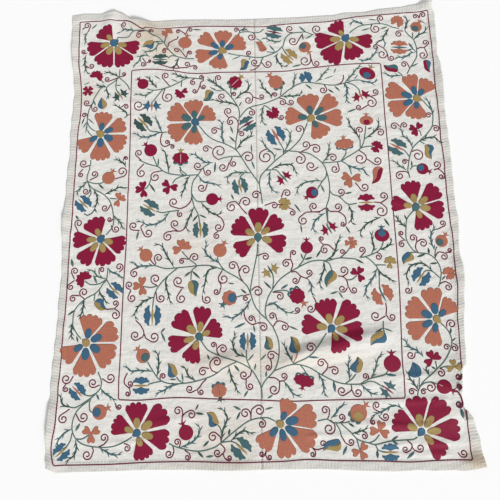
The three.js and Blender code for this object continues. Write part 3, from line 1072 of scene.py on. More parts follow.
Fruit = namedtuple("Fruit", "u v silk crown radius wide lobes crown_silk spot spot_heading "
                            "sepals slit", defaults=(1.0, 0, "", "", 0, "", ""))
FRUITS = [
    Fruit(143, 84, "crimson", -130, 20),
    Fruit(185, 42.7, "orange", -75, 22, 1.1),
    Fruit(304.7, 47.2, "orange", 55, 20, 1.1, spot="teal", spot_heading=215),
    Fruit(367.3, 73.4, "crimson", -60, 22, 1.35, crown_silk="mustard", spot="blue", spot_heading=110),
    Fruit(416, 27, "orange", -55, 20, spot="teal", spot_heading=120),
    Fruit(235.4, 82.3, "crimson", -45, 23, 1.1, 8, "mustard", sepals="green", slit="cream"),
    Fruit(275.7, 82, "orange", -130, 26, 1.0, 8, sepals="teal"),
    Fruit(150.7, 150.3, "crimson", -130, 23),
    Fruit(180.7, 158, "crimson", -90, 22, 1.35, 8, "mustard", sepals="teal", slit="cream"),
    Fruit(212.2, 199.2, "crimson", 0, 22),
    Fruit(366.5, 120.6, "orange", -90, 18, 1.33, spot="crimson", spot_heading=90),
    Fruit(344.2, 143.7, "orange", -95, 19, 1.8, 9, sepals="teal"),
    Fruit(312.2, 192.6, "crimson", 140, 22, spot="blue", spot_heading=0),
    Fruit(306.8, 247.5, "crimson", -90, 22),
    Fruit(108.5, 178, "orange", -60, 23),
    Fruit(146, 255.3, "orange", -130, 23),
    Fruit(220, 250.4, "orange", -60, 24),
    Fruit(143.2, 356, "orange", -130, 25, spot="teal", spot_heading=30),
    Fruit(392.3, 363.7, "crimson", -90, 29, 1.05),
    Fruit(444.3, 386.8, "crimson", 25, 25, slit="cream"),
    Fruit(186, 432.7, "crimson", -112, 26),
    Fruit(99.5, 412.2, "orange", -25, 26, spot="blue", spot_heading=180),
    Fruit(358.6, 413, "orange", -45, 30, 1.0, 0, spot="mustard", spot_heading=100, sepals="teal"),
    Fruit(441.5, 241, "orange", -55, 22, spot="teal", spot_heading=150),
    Fruit(422.5, 168.8, "crimson", 25, 21, spot="blue", spot_heading=215),
    Fruit(382, 235.3, "crimson", -90, 23, 1.15, spot="blue", spot_heading=-90, crown_silk="blue"),
    Fruit(297.3, 296, "crimson", 50, 28, 1.0, 9, "orange", sepals="teal"),
    Fruit(229.6, 298, "orange", 135, 27, 1.0, 8, "teal", "blue", 0),
    Fruit(219.2, 390.7, "orange", 80, 24, 1.15, 8, "dark", sepals="teal", slit="dark"),
    Fruit(304, 380.7, "crimson", 105, 21, 1.8, 9, sepals="teal"),
]


def ringed(radius, wide, lobes, count):
    """A fruit's edge, its crown along +X: round, or scalloped into lobes."""
    angle = np.linspace(0, 2 * math.pi, count, endpoint=False)
    reach = 1 - 0.12 * (1 - np.abs(np.cos(angle * lobes / 2)) ** 0.6) if lobes else np.ones(count)
    return np.column_stack([reach * radius * np.cos(angle), reach * radius * wide * np.sin(angle)])


CROWN = [(0.72, -0.42), (1.12, -0.19), (1.52, -0.64), (1.4, -0.15), (1.76, 0.0), (1.4, 0.15),
         (1.52, 0.64), (1.12, 0.19), (0.72, 0.42)]
# A pomegranate's proportions: the spread is degrees, the slit millimetres, the rest shares of the
# fruit's radius, and each rise a share of the stitch relief
SEPAL_SPREAD = 58
CROWN_HEART = 1.12
CROWN_RISE = 0.9
SPOT_ASIDE = 0.34
SPOT_SIZE = (1.15, 1.3)
SPOT_RISE = 1.35
SLIT_WIDTH = 3.0


def work_sepals(work, spot, row, radius):
    """A crescent of three pointed sepals hugging the foot of a fruit."""
    angle = np.radians(180 + np.linspace(-SEPAL_SPREAD, SEPAL_SPREAD, 25))
    share = np.linspace(-1, 1, 25)
    stand = radius * (1.06 + 0.34 * np.abs(np.cos(1.5 * math.pi * share)) * (1 - 0.5 * share ** 2))
    shape = np.column_stack([np.cos(angle), row.wide * np.sin(angle)])
    outer = placed(shape * stand[:, None], spot, row.crown)
    inner = placed(shape * radius * 0.93, spot, row.crown)
    strip(work, inner, outer)


def work_fruit(works, row):
    spot, scale = spot_and_scale(row)
    radius = row.radius * scale
    relief_height = mm(sizes().relief)
    body = placed(ringed(radius, row.wide, row.lobes, 54 if row.lobes else 28), spot, row.crown)
    blob(works[row.silk], body, spot, 90 - row.crown)
    crown = placed(np.array(CROWN) * radius, spot, row.crown)
    heart = placed([(CROWN_HEART * radius, 0)], spot, row.crown)[0]
    crown_silk = row.crown_silk or row.silk
    blob(works[crown_silk], crown, heart, -row.crown, relief_height * CROWN_RISE, (0.5,))
    if row.spot:
        aside = placed([(SPOT_ASIDE * radius, 0)], spot, row.spot_heading)[0]
        disc = ellipse(SPOT_SIZE[0] * radius, SPOT_SIZE[1] * radius, 20)
        disc = placed(disc, aside, row.spot_heading)
        blob(works[row.spot], disc, aside, 0, relief_height * SPOT_RISE, (0.5,))
    if row.sepals:
        work_sepals(works[row.sepals], spot, row, radius)
    if row.slit:
        top = 0.8 if row.lobes else -0.1
        ends = placed([(-0.88 * radius, 0), (top * radius, 0)], spot, row.crown)
        line(works[row.slit], curve_through(ends), SLIT_WIDTH, relief_height * SPOT_RISE, taper=5)


class SUZANI_OT_work_fruit(bpy.types.Operator):
    """Work the pomegranates with their crowns and sepals"""

    bl_idname = "suzani.work_fruit"
    bl_label = "Work Pomegranates"
    bl_options = {"REGISTER", "UNDO"}

    def execute(self, context):
        works = defaultdict(Stitching)
        for row in FRUITS:
            work_fruit(works, row)
        make_all("pomegranates_", works)
        return {"FINISHED"}


# Split tulips: two lobed or starred halves with a narrow leaf of another silk between them

Tulip = namedtuple("Tulip", "u v heading length thick gap silk stripe starred",
                   defaults=(9, "teal", "mustard", False))
TULIPS = [
    Tulip(160.3, 59.7, 5, 52, 12, 8, "dark", "green"),
    Tulip(274, 32.2, 14, 54, 16, 9, "teal", "plum"),
    Tulip(289, 56.4, 45, 50, 18, 9, "mustard", "mustard"),
    Tulip(399.3, 47.4, 4, 54, 17, 11, "orange", "teal"),
    Tulip(120.5, 95.4, 60, 40, 21, 9, "dark", "mustard", True),
    Tulip(151.8, 106, 90, 40, 24, 10, "blue", "orange", True),
    Tulip(143.2, 122.6, 47, 58, 19, 12, "dark", "mustard"),
    Tulip(247.8, 123.7, -30, 50, 17, 12, "teal", "plum"),
    Tulip(275.8, 135.6, 62, 58, 21, 14, "blue", "orange"),
    Tulip(240, 186.3, 75, 52, 18, 11, "teal", "mustard"),
    Tulip(284, 178, 50, 42, 21, 10, "crimson", "green", True),
    Tulip(149.5, 208, 32, 58, 19, 10, "teal", "mustard"),
    Tulip(200.6, 230, 90, 52, 18, 11, "teal", "mustard"),
    Tulip(329, 228.6, 63, 44, 22, 10, "crimson", "green", True),
    Tulip(366.5, 202.5, 0, 55, 21, 10, "crimson", "mustard"),
    Tulip(361, 96, 70, 38, 24, 9, "crimson", "orange", True),
    Tulip(83.2, 203.7, 45, 52, 18, 10, "blue", "mustard"),
    Tulip(152.4, 315.5, 90, 65, 20, 11, "blue", "mustard"),
    Tulip(114.6, 290.6, 40, 50, 18, 10, "blue", "mustard"),
    Tulip(247.8, 341.2, 90, 55, 19, 11, "blue", "mustard"),
    Tulip(270.5, 270.5, -120, 42, 23, 10, "mustard", "dark", True),
    Tulip(382.5, 294.7, 66, 58, 26, 10, "orange", "teal"),
    Tulip(141.2, 385.7, 0, 55, 19, 11, "blue", "mustard"),
    Tulip(77.3, 391.5, 45, 52, 18, 10, "blue", "orange"),
    Tulip(61.6, 452, -40, 50, 18, 10, "blue", "mustard"),
    Tulip(241.2, 448.3, 42, 62, 22, 12, "teal", "mustard"),
    Tulip(390.6, 452.4, 0, 56, 19, 11, "blue", "mustard"),
    Tulip(388, 389.5, 38, 52, 22, 9, "teal", "crimson", True),
    Tulip(421.3, 276.5, -52, 56, 21, 10, "blue", "mustard"),
    Tulip(397.3, 147, 30, 56, 19, 12, "teal", "orange"),
]
STAR_HALF = [(-0.56, 0.3), (-0.2, 0.14), (0.0, 0.0), (0.14, 0.2), (0.5, 0.42), (0.24, 0.52),
             (0.26, 1.0), (0.04, 0.72), (-0.2, 1.02), (-0.2, 0.6)]
LOBED_HALF = [(0.0, 0.0), (0.16, 0.14), (0.34, 0.26), (0.53, 0.26), (0.52, 0.5), (0.42, 0.66),
              (0.4, 0.86), (0.29, 0.98), (0.2, 0.88), (0.13, 1.04), (0.0, 1.1), (-0.12, 1.02),
              (-0.19, 0.86), (-0.29, 0.98), (-0.4, 0.88), (-0.43, 0.66), (-0.53, 0.5),
              (-0.54, 0.24), (-0.34, 0.26), (-0.16, 0.14)]
TULIP_FULLNESS = 1.25
LEAF_TIP = 0.12


def rounded(outline, each=3):
    """A closed outline drawn smoothly through its points."""
    points = np.asarray(outline, float)
    path = []
    for k in range(len(points)):
        a, b, c, d = (points[(k + j) % len(points)] for j in (-1, 0, 1, 2))
        t = np.linspace(0, 1, each, endpoint=False)[:, None]
        path.append(spline(a, b, c, d, t))
    return np.concatenate(path)


def tulip_half(row, side, scale):
    """One half's edge and heart, the tulip's axis along +X and the half on +Y or -Y."""
    shape = STAR_HALF if row.starred else LOBED_HALF
    fit = np.array([row.length, row.thick * TULIP_FULLNESS]) * scale
    near = np.array([0, row.gap * 0.36])
    outline = rounded(np.array(shape) * fit + near)
    heart = np.array([0, 0.5]) * fit + near
    if side < 0:
        outline = (outline * [1, -1])[::-1]
        heart = heart * [1, -1]
    return outline, heart


def leaf(work, path, width):
    """A narrow filled leaf along a path, pointed at both ends."""
    share = np.linspace(0, 1, len(path))
    band(work, path, width / 2 * np.maximum(np.sin(math.pi * share), LEAF_TIP) ** 0.75)


class SUZANI_OT_work_tulips(bpy.types.Operator):
    """Work the split tulips"""

    bl_idname = "suzani.work_tulips"
    bl_label = "Work Tulips"
    bl_options = {"REGISTER", "UNDO"}

    def execute(self, context):
        works = defaultdict(Stitching)
        for row in TULIPS:
            spot, scale = spot_and_scale(row)
            for side in (-1, 1):
                outline, heart = tulip_half(row, side, scale)
                outline = placed(outline, spot, row.heading)
                heart = placed([heart], spot, row.heading)[0]
                blob(works[row.silk], outline, heart, -row.heading)
            tip = 0.5 * row.length * scale
            ends = placed([(-tip, 0), (tip, 0)], spot, row.heading)
            leaf(works[row.stripe], curve_through(ends, 4), row.gap * 0.9 * scale)
        make_all("tulips_", works)
        return {"FINISHED"}


# Small flowers: a few notched petals round a point, each petal given by its heading

Flower = namedtuple("Flower", "u v silk radius petals")
FLOWERS = [
    Flower(96.4, 77, "crimson", 24, (-150, -100, -45, 20)),
    Flower(88, 91, "crimson", 20, (45, 135, 225, 315)),
    Flower(181.3, 92.3, "crimson", 23, (185, -20, 118, 78)),
    Flower(272.7, 112.8, "crimson", 23, (-65, -28, 15, 78, 138, 180)),
    Flower(143.5, 189.3, "crimson", 29, (178, -98, 85)),
    Flower(169.5, 186.5, "crimson", 29, (-140, 12, 125)),
    Flower(376.7, 146.8, "crimson", 22, (-123, -68, 2, 95, 140)),
    Flower(358.3, 274.3, "crimson", 28, (-148, -62, 58)),
    Flower(84, 279.5, "crimson", 29, (-42, -100, -170, 125)),
    Flower(416.8, 129.2, "crimson", 27, (-55, 198, 118)),
    Flower(432.5, 359.3, "crimson", 31, (-110, -30, 145)),
    Flower(167.4, 32.8, "orange", 20, (-90, -20, 180, 120)),
    Flower(397.2, 21.5, "orange", 23, (178, -125, -60, 5, 60)),
    Flower(351.3, 178.5, "orange", 34, (202, -5, 120)),
    Flower(118.7, 199.7, "orange", 25, (-95, -15, 110)),
    Flower(182, 248.5, "orange", 33, (-100, -25, 165)),
    Flower(351, 242.8, "orange", 22, (-85, 178, 0, 75)),
    Flower(142, 286, "orange", 32, (-90, 180, 82)),
    Flower(448.8, 273.3, "orange", 23, (-160, -105, -40, 35, 95)),
    Flower(91, 433.7, "orange", 32, (-150, -28, 88)),
    Flower(379.5, 431, "orange", 34, (-72, 25, 180)),
    Flower(360.7, 451, "orange", 31, (-50, 60, 165)),
    Flower(284.4, 204, "mustard", 23, (-135, -92, -20, 60, 125)),
    Flower(390.2, 262.4, "mustard", 22, (205, -110, -60, -15, 100)),
    Flower(454, 367, "mustard", 26, (-95, 160, 0)),
    Flower(305.8, 77.5, "blue", 23, (-75, -20, 200, 155, 30)),
]
NOTCHED_PETAL = [(-0.04, 0.0), (0.3, -0.27), (0.7, -0.47), (1.02, -0.3), (0.88, 0.0), (1.02, 0.3),
                 (0.7, 0.47), (0.3, 0.27)]


class SUZANI_OT_work_flowers(bpy.types.Operator):
    """Work the small flowers"""

    bl_idname = "suzani.work_flowers"
    bl_label = "Work Flowers"
    bl_options = {"REGISTER", "UNDO"}

    def execute(self, context):
        works = defaultdict(Stitching)
        shape = rounded(NOTCHED_PETAL, 2)
        for row in FLOWERS:
            spot, scale = spot_and_scale(row)
            radius = row.radius * scale
            for heading in row.petals:
                petal = placed(shape * radius, spot, heading)
                heart = placed([(0.6 * radius, 0)], spot, heading)[0]
                blob(works[row.silk], petal, heart, -heading, inner=(0.5,))
        make_all("flowers_", works)
        return {"FINISHED"}


# Buds: a drop from a round head to a bent point, split along its length between two silks

Bud = namedtuple("Bud", "u v tail_u tail_v width bend left right")
BUDS = [
    Bud(154, 41.5, 142.3, 47, 30, 5, "blue", "mustard"),
    Bud(248.3, 60.5, 240, 70, 32, -6, "blue", "mustard"),
    Bud(266.5, 50, 255, 42, 28, 5, "orange", "orange"),
    Bud(213, 91.3, 203.2, 101, 32, -6, "teal", "mustard"),
    Bud(103, 109, 101.5, 97.5, 34, 0, "blue", "mustard"),
    Bud(398, 71, 383.3, 65, 32, -5, "crimson", "teal"),
    Bud(424.5, 60, 430.2, 72.5, 27, 4, "blue", "crimson"),
    Bud(381.5, 167, 372, 184, 36, -5, "crimson", "orange"),
    Bud(426, 144.5, 431.8, 159.3, 34, 7, "blue", "mustard"),
    Bud(191, 280.5, 196.5, 296.5, 40, 3, "teal", "mustard"),
    Bud(333, 270.3, 326.5, 287.5, 38, 4, "mustard", "teal"),
    Bud(94.5, 301.5, 107, 309.3, 36, 4, "blue", "mustard"),
    Bud(410.5, 252.3, 403.5, 264.5, 38, 4, "mustard", "blue"),
    Bud(384.5, 332, 370.5, 345.7, 44, 6, "blue", "mustard"),
    Bud(271.5, 349.5, 265.5, 336, 34, 4, "teal", "mustard"),
    Bud(298.5, 352.5, 290.5, 336.3, 42, 5, "blue", "mustard"),
    Bud(176, 376.5, 167.5, 363.3, 38, 4, "blue", "mustard"),
    Bud(357.5, 373, 357.7, 356.5, 44, 5, "blue", "mustard"),
    Bud(417.7, 377.5, 412.5, 362, 48, 3, "blue", "blue"),
    Bud(218, 424.7, 206.5, 412.5, 40, 6, "blue", "mustard"),
    Bud(340.5, 441, 323, 450.7, 44, 5, "mustard", "blue"),
]
BUD_WIDEST = 0.36


def bud_half(row, side):
    """One half's edge and heart; the bud's head is at the origin and its tail along +X."""
    head, tail = on_cloth([(row.u, row.v), (row.tail_u, row.tail_v)])
    arm = tail - head
    length = np.linalg.norm(arm)
    share = np.concatenate([[0, 0.02, 0.06, 0.12, 0.2], np.linspace(BUD_WIDEST, 1, 9)])
    front = np.sqrt(np.clip(1 - ((BUD_WIDEST - share) / BUD_WIDEST) ** 2, 0, 1))
    back = 1 - (np.clip(share - BUD_WIDEST, 0, 1) / (1 - BUD_WIDEST)) ** 1.5
    width = row.width * nearness(head)
    half = width / 2 * np.where(share < BUD_WIDEST, front, back)
    sway = row.bend * np.sin(2 * math.pi * share)
    axis = np.column_stack([share * length, sway])
    rim = axis + np.column_stack([np.zeros(len(share)), side * half])
    outline = np.concatenate([axis, rim[::-1][1:-1]])
    if side < 0:
        outline = outline[::-1]
    heart = np.array([0.38 * length, np.interp(0.38, share, sway) + side * width * 0.2])
    turn = math.degrees(math.atan2(arm[1], arm[0]))
    return turned(outline, turn) + head, turned([heart], turn)[0] + head, turn


class SUZANI_OT_work_buds(bpy.types.Operator):
    """Work the two-coloured buds"""

    bl_idname = "suzani.work_buds"
    bl_label = "Work Buds"
    bl_options = {"REGISTER", "UNDO"}

    def execute(self, context):
        works = defaultdict(Stitching)
        for row in BUDS:
            for side, silk in ((1, row.left), (-1, row.right)):
                outline, heart, turn = bud_half(row, side)
                blob(works[silk], outline, heart, turn, inner=(0.5,))
        make_all("buds_", works)
        return {"FINISHED"}


# Each table below is by silk. A vine is the places (u, v) of the photograph that its line runs
# through. A sprig is its number of thorns and such places, and a leaf its width and two ends

Sprig = namedtuple("Sprig", "thorns places")
Leaf = namedtuple("Leaf", "width u0 v0 u1 v1")
VINES = {
    "green": [
        [(117, 39), (119, 37.3), (124, 37.7), (129, 36.5), (131, 33.5), (134, 31), (140, 30.2),
        (147, 30.8), (152, 34.5), (158, 37), (162, 40.5), (165, 44), (167.5, 48), (170, 51), (173, 54),
        (177, 56.5), (181, 57.5), (186, 58.6), (194, 58.5)], [(154, 42), (158, 41.5), (162.5, 42)],
        [(166, 36), (165, 40), (164.5, 42.5)], [(183, 48), (183.5, 50.5)], [(168, 58.5), (171, 56),
        (177, 56.3)], [(99, 78), (102, 81), (104, 83)], [(120, 69.5), (119.5, 77), (121, 79),
        (125, 82.5), (128, 86), (129.5, 90)], [(119.5, 77), (114, 82), (110, 84.5), (107, 87)],
        [(237.3, 35.5), (240, 32.7), (245, 31.8), (250, 32), (254, 32.7), (257, 32.8), (260.5, 31.8),
        (263.7, 29)], [(256.5, 38.7), (259.5, 40.3), (262.5, 42.7)], [(228, 53.3), (236, 55),
        (247, 56.4), (256, 57.5), (263, 57.1), (270, 54.7), (277, 51.5), (281, 47.8), (283.3, 45),
        (284.2, 41.5), (286, 37.5), (290, 34), (295, 32.7), (300, 32.4), (305.5, 32), (309, 33.3),
        (313.5, 34.8)], [(282.5, 47.3), (283.6, 50), (286.8, 54)], [(266.7, 51.8), (273, 52.3),
        (277, 51.6)], [(249, 59.7), (250.2, 57.6)], [(349.5, 33), (352, 30.8), (356, 28), (361, 25.7),
        (370, 24.4), (377, 23.6), (383, 24), (388, 25.3), (392, 27), (399, 28.7)], [(382.5, 39),
        (384.5, 42), (385, 44)], [(398, 72), (401, 74), (403, 77)], [(405, 31), (409, 35.5), (413, 39),
        (415, 43), (416.5, 48), (416.8, 53), (416.5, 57), (414.5, 61), (412, 65), (410, 68),
        (408.5, 71), (407, 74)], [(412.5, 32.5), (412.5, 38)], [(412, 48.3), (416.5, 52.3)], [(117, 80),
        (116, 84), (116, 88), (117, 91), (119.5, 95)], [(103, 87), (100, 89.3), (98, 92.5), (96, 95.5),
        (94, 99), (92.5, 104), (90.5, 107), (88.5, 112), (87.5, 118), (87.3, 122), (88.7, 125.5),
        (91.5, 129), (95.5, 131.3)], [(90.7, 160), (90.7, 164), (89.3, 168)], [(147, 88.8), (153, 90.3),
        (160, 89.5), (164, 88.5), (170, 86.7), (175, 84.3), (180, 82), (184, 79.5), (189, 78),
        (197, 78.5), (204, 79.5)], [(164, 88.5), (161, 91.5), (157.5, 96), (152.7, 101.7)],
        [(181.7, 81.5), (181.3, 87)], [(145.7, 125.5), (149, 129.8), (152, 131.4), (156, 131.8),
        (162, 132.5), (167, 132)], [(218.7, 159.7), (222, 158.3), (228, 157), (233, 156.5)],
        [(153, 156.5), (155, 161), (157.3, 166.5)], [(180.5, 167), (180.3, 172), (184, 175)],
        [(217, 90.6), (222, 91)], [(208, 80.4), (220, 86.7), (228.7, 94.3), (236.5, 104.5),
        (239.4, 112), (238.8, 121.5)], [(237.5, 132), (236, 141), (235.7, 149.5)], [(231, 88.5),
        (230.8, 94)], [(239.8, 117.5), (246, 110), (252, 106.7), (265.3, 103.3), (279.3, 97.3),
        (288.7, 90), (300, 83.5), (310.5, 82.6), (332, 85.2), (345, 83), (353.6, 80.4), (360, 80)],
        [(264, 105.5), (267, 106.8), (271.7, 110.5)], [(281, 87), (281.2, 91), (280.3, 95.5)],
        [(237.8, 131.5), (240.5, 128.5), (243.5, 126)], [(278.7, 141.3), (283, 148.3), (283.5, 153)],
        [(307.3, 122.7), (304.3, 130.7), (300, 139.3), (292, 148), (284, 154), (274.7, 161.3),
        (266.7, 169.3), (261, 176), (259.5, 184), (261, 193), (262.4, 204)], [(199.3, 126),
        (207.3, 135.3), (216, 140.7), (225.3, 144), (236, 150), (242.7, 159.3), (249.3, 169.7),
        (259.5, 184)], [(233, 156.5), (237, 156.4), (241, 157)], [(289.5, 151), (300, 152), (310, 154),
        (322.3, 163), (327, 173), (329.6, 186.3), (328.8, 199), (326.3, 208), (328, 224)],
        [(322.5, 163), (332, 162.3), (341.3, 161), (347.3, 157), (358.7, 150), (363.3, 143.3),
        (365, 134), (365.7, 126)], [(341.3, 161), (347.3, 164.7), (350.3, 170), (351.5, 174.5)],
        [(360, 139), (360.3, 148.3)], [(360.3, 148.3), (366, 146.6), (373, 146.2)], [(346, 150.7),
        (345.7, 154), (341.3, 160.7)], [(346, 82.3), (353.3, 84.7), (358.7, 89.3), (360, 92.8)],
        [(421.3, 99), (431, 109.5)], [(433, 114.7), (432.3, 125.3), (428, 132.7), (420, 140.5),
        (413.3, 147.3), (410, 155.3), (408.7, 162.7), (407.7, 170)], [(418.3, 129.7), (420.3, 132),
        (421.3, 136)], [(420, 141.3), (424.7, 144)], [(400, 148), (405, 151), (410, 157.5)],
        [(410.1, 169.7), (413, 166.3), (418, 165.8)], [(90, 168), (87, 179), (92, 188), (103, 194),
        (110, 201.5), (112.7, 211), (113.5, 218), (112.5, 227), (106, 235)], [(88.5, 184), (91, 193),
        (88.5, 197.5)], [(88, 181.5), (93, 183.3), (100, 183.6), (104.5, 181.5)], [(110, 198.3),
        (117, 199)], [(179.5, 167), (182, 171), (186.5, 175), (180, 177), (175, 180), (172.5, 183.5)],
        [(209.5, 163.5), (203, 168), (198, 175), (193, 182), (191.5, 193), (194, 206), (198.3, 215),
        (200, 227)], [(191.5, 193), (194, 198), (198, 201.5), (206.5, 201.5)], [(156.5, 211),
        (162, 212.7), (170, 211.5), (179, 210.4)], [(151.5, 177.5), (149.6, 183), (147, 187.7),
        (144.5, 189)], [(265.5, 170.3), (275, 169.8), (278.5, 172), (281, 175.5)], [(244, 173.5),
        (240.5, 176.8), (239.5, 183)], [(326.5, 172), (325.8, 177), (322.5, 181.2), (317.5, 189)],
        [(330, 191), (333, 194.5), (339, 196.5), (348, 204), (357, 203.3)], [(327.5, 209), (327.7, 217),
        (328, 225)], [(407.7, 170), (409, 174.5), (410, 178)], [(413, 211), (407, 219), (406, 229),
        (406, 237), (408, 243), (413, 250)], [(437, 246.5), (435.5, 250)], [(108, 268), (106.5, 279.5),
        (103, 284), (99, 290), (94.5, 294), (84, 300), (74.5, 311), (72.5, 325)], [(106.5, 279.5),
        (101, 283), (96.5, 284.5), (90, 284.5), (85, 281)], [(107, 280), (109, 284), (112, 288)],
        [(95, 293.5), (94, 301)], [(225, 270.5), (215, 267), (205, 265.3), (186, 267), (166, 268.5),
        (155, 265.5)], [(182, 251.5), (185, 255), (189, 259), (196.5, 265.6), (192, 270.5),
        (190.8, 280)], [(178, 267.7), (168, 276), (160, 284.5), (156.5, 290), (154, 297), (152.5, 308)],
        [(157.5, 285.8), (151, 287.5), (143, 286.5)], [(217.5, 257), (218.5, 262), (225, 270.5),
        (238, 278), (247, 286), (250.5, 294)], [(257.7, 244), (257, 254), (254, 269), (251, 285),
        (250.7, 293), (254.5, 305), (260, 313), (267, 319.5), (273, 327)], [(237, 297), (243.5, 295)],
        [(272.5, 273), (273.5, 281), (272.5, 289)], [(266.5, 319), (265.2, 310), (267.5, 299),
        (272.5, 289.5), (280, 279.5), (291, 271.5), (308, 262.5), (318, 260.4), (328, 260.5),
        (340, 258), (356, 259)], [(297, 268.7), (303, 260.5), (306.3, 253)], [(290.5, 293),
        (285.5, 290.5), (276, 291), (272.5, 292.3)], [(340, 257.7), (346, 253), (350, 247.5)],
        [(359.5, 257.5), (366, 256.5), (377, 252), (381.5, 247), (383.5, 241)], [(365.5, 256.8),
        (371, 260.5), (377.5, 268), (379.2, 277), (379.5, 286), (382, 294)], [(324, 261), (329, 263.3),
        (332, 270.5)], [(346.5, 280), (352, 279.3), (357, 275.5)], [(376, 265), (386, 265)],
        [(413, 250), (418, 252.7), (429, 254.3), (437, 261), (441, 271), (440.3, 281), (438.5, 287)],
        [(410.5, 252.3), (418, 252.5)], [(435.5, 250), (434.6, 256.5)], [(440, 278), (433, 271.8),
        (427, 270.5), (423.5, 272.5)], [(72.5, 325), (76, 332.5), (81, 339)], [(98, 372), (101.3, 381),
        (100.5, 388), (96.5, 393), (91, 398), (77, 407), (70, 407.5)], [(80, 392), (84, 394.5),
        (90, 396), (96, 393.5)], [(91, 398), (89.4, 403), (89.5, 409)], [(147.5, 362), (153.5, 372),
        (160, 380), (170, 383.7), (183, 383.5), (197, 381), (213, 375.5), (224, 368), (237, 361.6)],
        [(148, 384.5), (155, 382.5), (161.5, 381.3)], [(176.5, 377), (179, 380.5), (183.5, 383)],
        [(200.5, 340), (208, 350), (220, 356), (237, 361.6), (250, 368.5), (257, 378), (261.3, 388),
        (262.3, 399)], [(273, 327), (278, 339), (279.2, 350), (278, 361), (274, 371), (265, 381),
        (261.5, 388)], [(274, 371), (292.5, 364.5), (308, 367), (322, 375), (340, 383), (360, 384.2),
        (372, 381.3), (384, 387.5)], [(293, 364), (309, 356.5), (319, 345), (326.5, 333)],
        [(246.3, 350), (247, 360), (250.5, 368)], [(300.5, 365.3), (304, 369.5), (306.5, 374)],
        [(356, 374), (352, 379), (345.5, 383.5)], [(360, 384.3), (370, 378.7), (384, 375), (388, 371)],
        [(383.3, 321), (383.5, 328), (384.5, 333)], [(440, 322), (449, 332), (451.8, 344), (446, 358.5),
        (436, 370), (424, 381), (418.7, 390), (417.7, 396)], [(420.5, 386), (425, 383), (431, 382),
        (437, 384)], [(435.5, 361), (437, 369)], [(440, 368), (445, 366.7), (452, 366.5)],
        [(419.3, 377.5), (419.3, 388)], [(89, 400.5), (82, 406), (76, 412.5), (72.5, 422), (72.3, 431),
        (76, 439), (84, 444.8), (98, 447.3), (113, 446.5), (125, 441.5), (132, 437)], [(89.5, 409),
        (90.5, 411.5), (93.5, 413)], [(72, 433), (70.5, 440), (67, 446), (62.5, 449.5)], [(169, 443.5),
        (178, 447.5), (197, 451.3), (213, 448), (221.5, 442.5), (235, 431), (250, 420.5), (266, 417.7),
        (275, 421)], [(218, 425), (221, 430), (221.7, 441)], [(222, 442.5), (231, 441.5), (238, 444.5),
        (242, 449)], [(317.8, 421), (327, 419.3), (333, 422.5), (344, 422.8), (350, 421.5)],
        [(336, 423.3), (339.8, 430), (341.3, 436)], [(341, 423.5), (350, 431.5), (358, 439.5),
        (369, 443), (376, 444.5), (389, 441.5), (402, 440.2), (413, 439.5), (417.5, 437)],
        [(356.5, 438.5), (360, 450)], [(369, 443), (375, 440.3), (379.5, 434.5)], [(375.5, 445),
        (379, 450.5), (388, 452.5)],
    ],
    "plum": [
        [(168, 47), (169, 43), (173, 40.5), (177, 39), (178, 36)], [(153, 62), (165, 66), (172, 67.8),
        (179, 68), (176, 64)], [(259.5, 65.3), (257, 67.7), (254, 69.7), (250, 70.2)], [(309.8, 53),
        (310.4, 57), (311, 61.5)], [(343.3, 75), (343.5, 78), (342.5, 81), (340, 83.5), (336, 85.2)],
        [(416.7, 49.3), (419, 48), (422, 47.4), (424.3, 47.6)], [(162.3, 133), (161, 137), (160.5, 141),
        (161.5, 144.5), (164, 146.4), (167, 146), (169.5, 144.6)], [(204, 80.5), (201, 82), (200, 85.5),
        (199, 88)], [(228.7, 117.7), (233.5, 117), (238, 122), (237.5, 132)], [(252.8, 96), (250, 93),
        (246.5, 92)], [(366.5, 96.2), (371, 96.3)], [(180, 208.9), (186, 206.3), (190.5, 201.5),
        (192, 196)], [(174, 230.8), (180, 231.2), (184.5, 228.5), (186, 224.5)], [(222.5, 229),
        (224, 224), (221, 218), (214.5, 214)], [(140.7, 228), (141.5, 226), (143.7, 224.3)],
        [(235.5, 201.3), (239, 205), (243, 210), (247, 214)], [(277.5, 204.5), (280.5, 204.7),
        (283, 204)], [(306, 212.3), (313, 211.9), (320, 212.3)], [(374, 202), (381, 202.7)],
        [(312.3, 212), (320, 211.3), (326.5, 208), (330, 211.3), (338.3, 211.8), (344.5, 216),
        (346.3, 222.3)], [(405, 171.3), (407.5, 172.3), (409, 174.5)], [(434, 169.7), (438, 169),
        (442, 171.7), (444.7, 175)], [(416.7, 242), (415.5, 246), (416.3, 250)], [(106, 309.5),
        (114.7, 308.7)], [(149.5, 258), (152, 262), (155.5, 265.5)], [(135.8, 320.5), (140, 324.5),
        (143.3, 330)], [(221, 287), (220.7, 284), (218.5, 281)], [(239, 268.5), (239, 273),
        (240.5, 277.5), (243, 281.5)], [(244, 310), (244.5, 316), (247, 321), (252, 324.5),
        (256, 323.5)], [(290.5, 259), (292.7, 265), (291, 271.5), (296, 271.8), (301, 276.3),
        (308, 279)], [(316.3, 303.5), (315, 299.5), (313, 296.5)], [(323.5, 244.8), (328.5, 245),
        (332, 248), (335, 250.5)], [(338, 276), (342.5, 276.6), (346.5, 280), (348.3, 287)],
        [(386, 315), (386.5, 309), (385.7, 303)], [(416.3, 250), (418.5, 252.7)], [(439, 251.7),
        (436.5, 254.3), (435, 258)], [(446, 281.5), (443, 282.2), (440, 284)], [(143.3, 330),
        (143.9, 333.5), (142.7, 337)], [(143.9, 333.5), (146, 338.5)], [(127.5, 373), (124.5, 379),
        (124.7, 384), (128.7, 387.7), (129.8, 389.5)], [(206.5, 379), (202.5, 383), (199.5, 387.5),
        (196.7, 390)], [(211, 361), (209.8, 365), (212, 370.5), (218, 373)], [(216.7, 348),
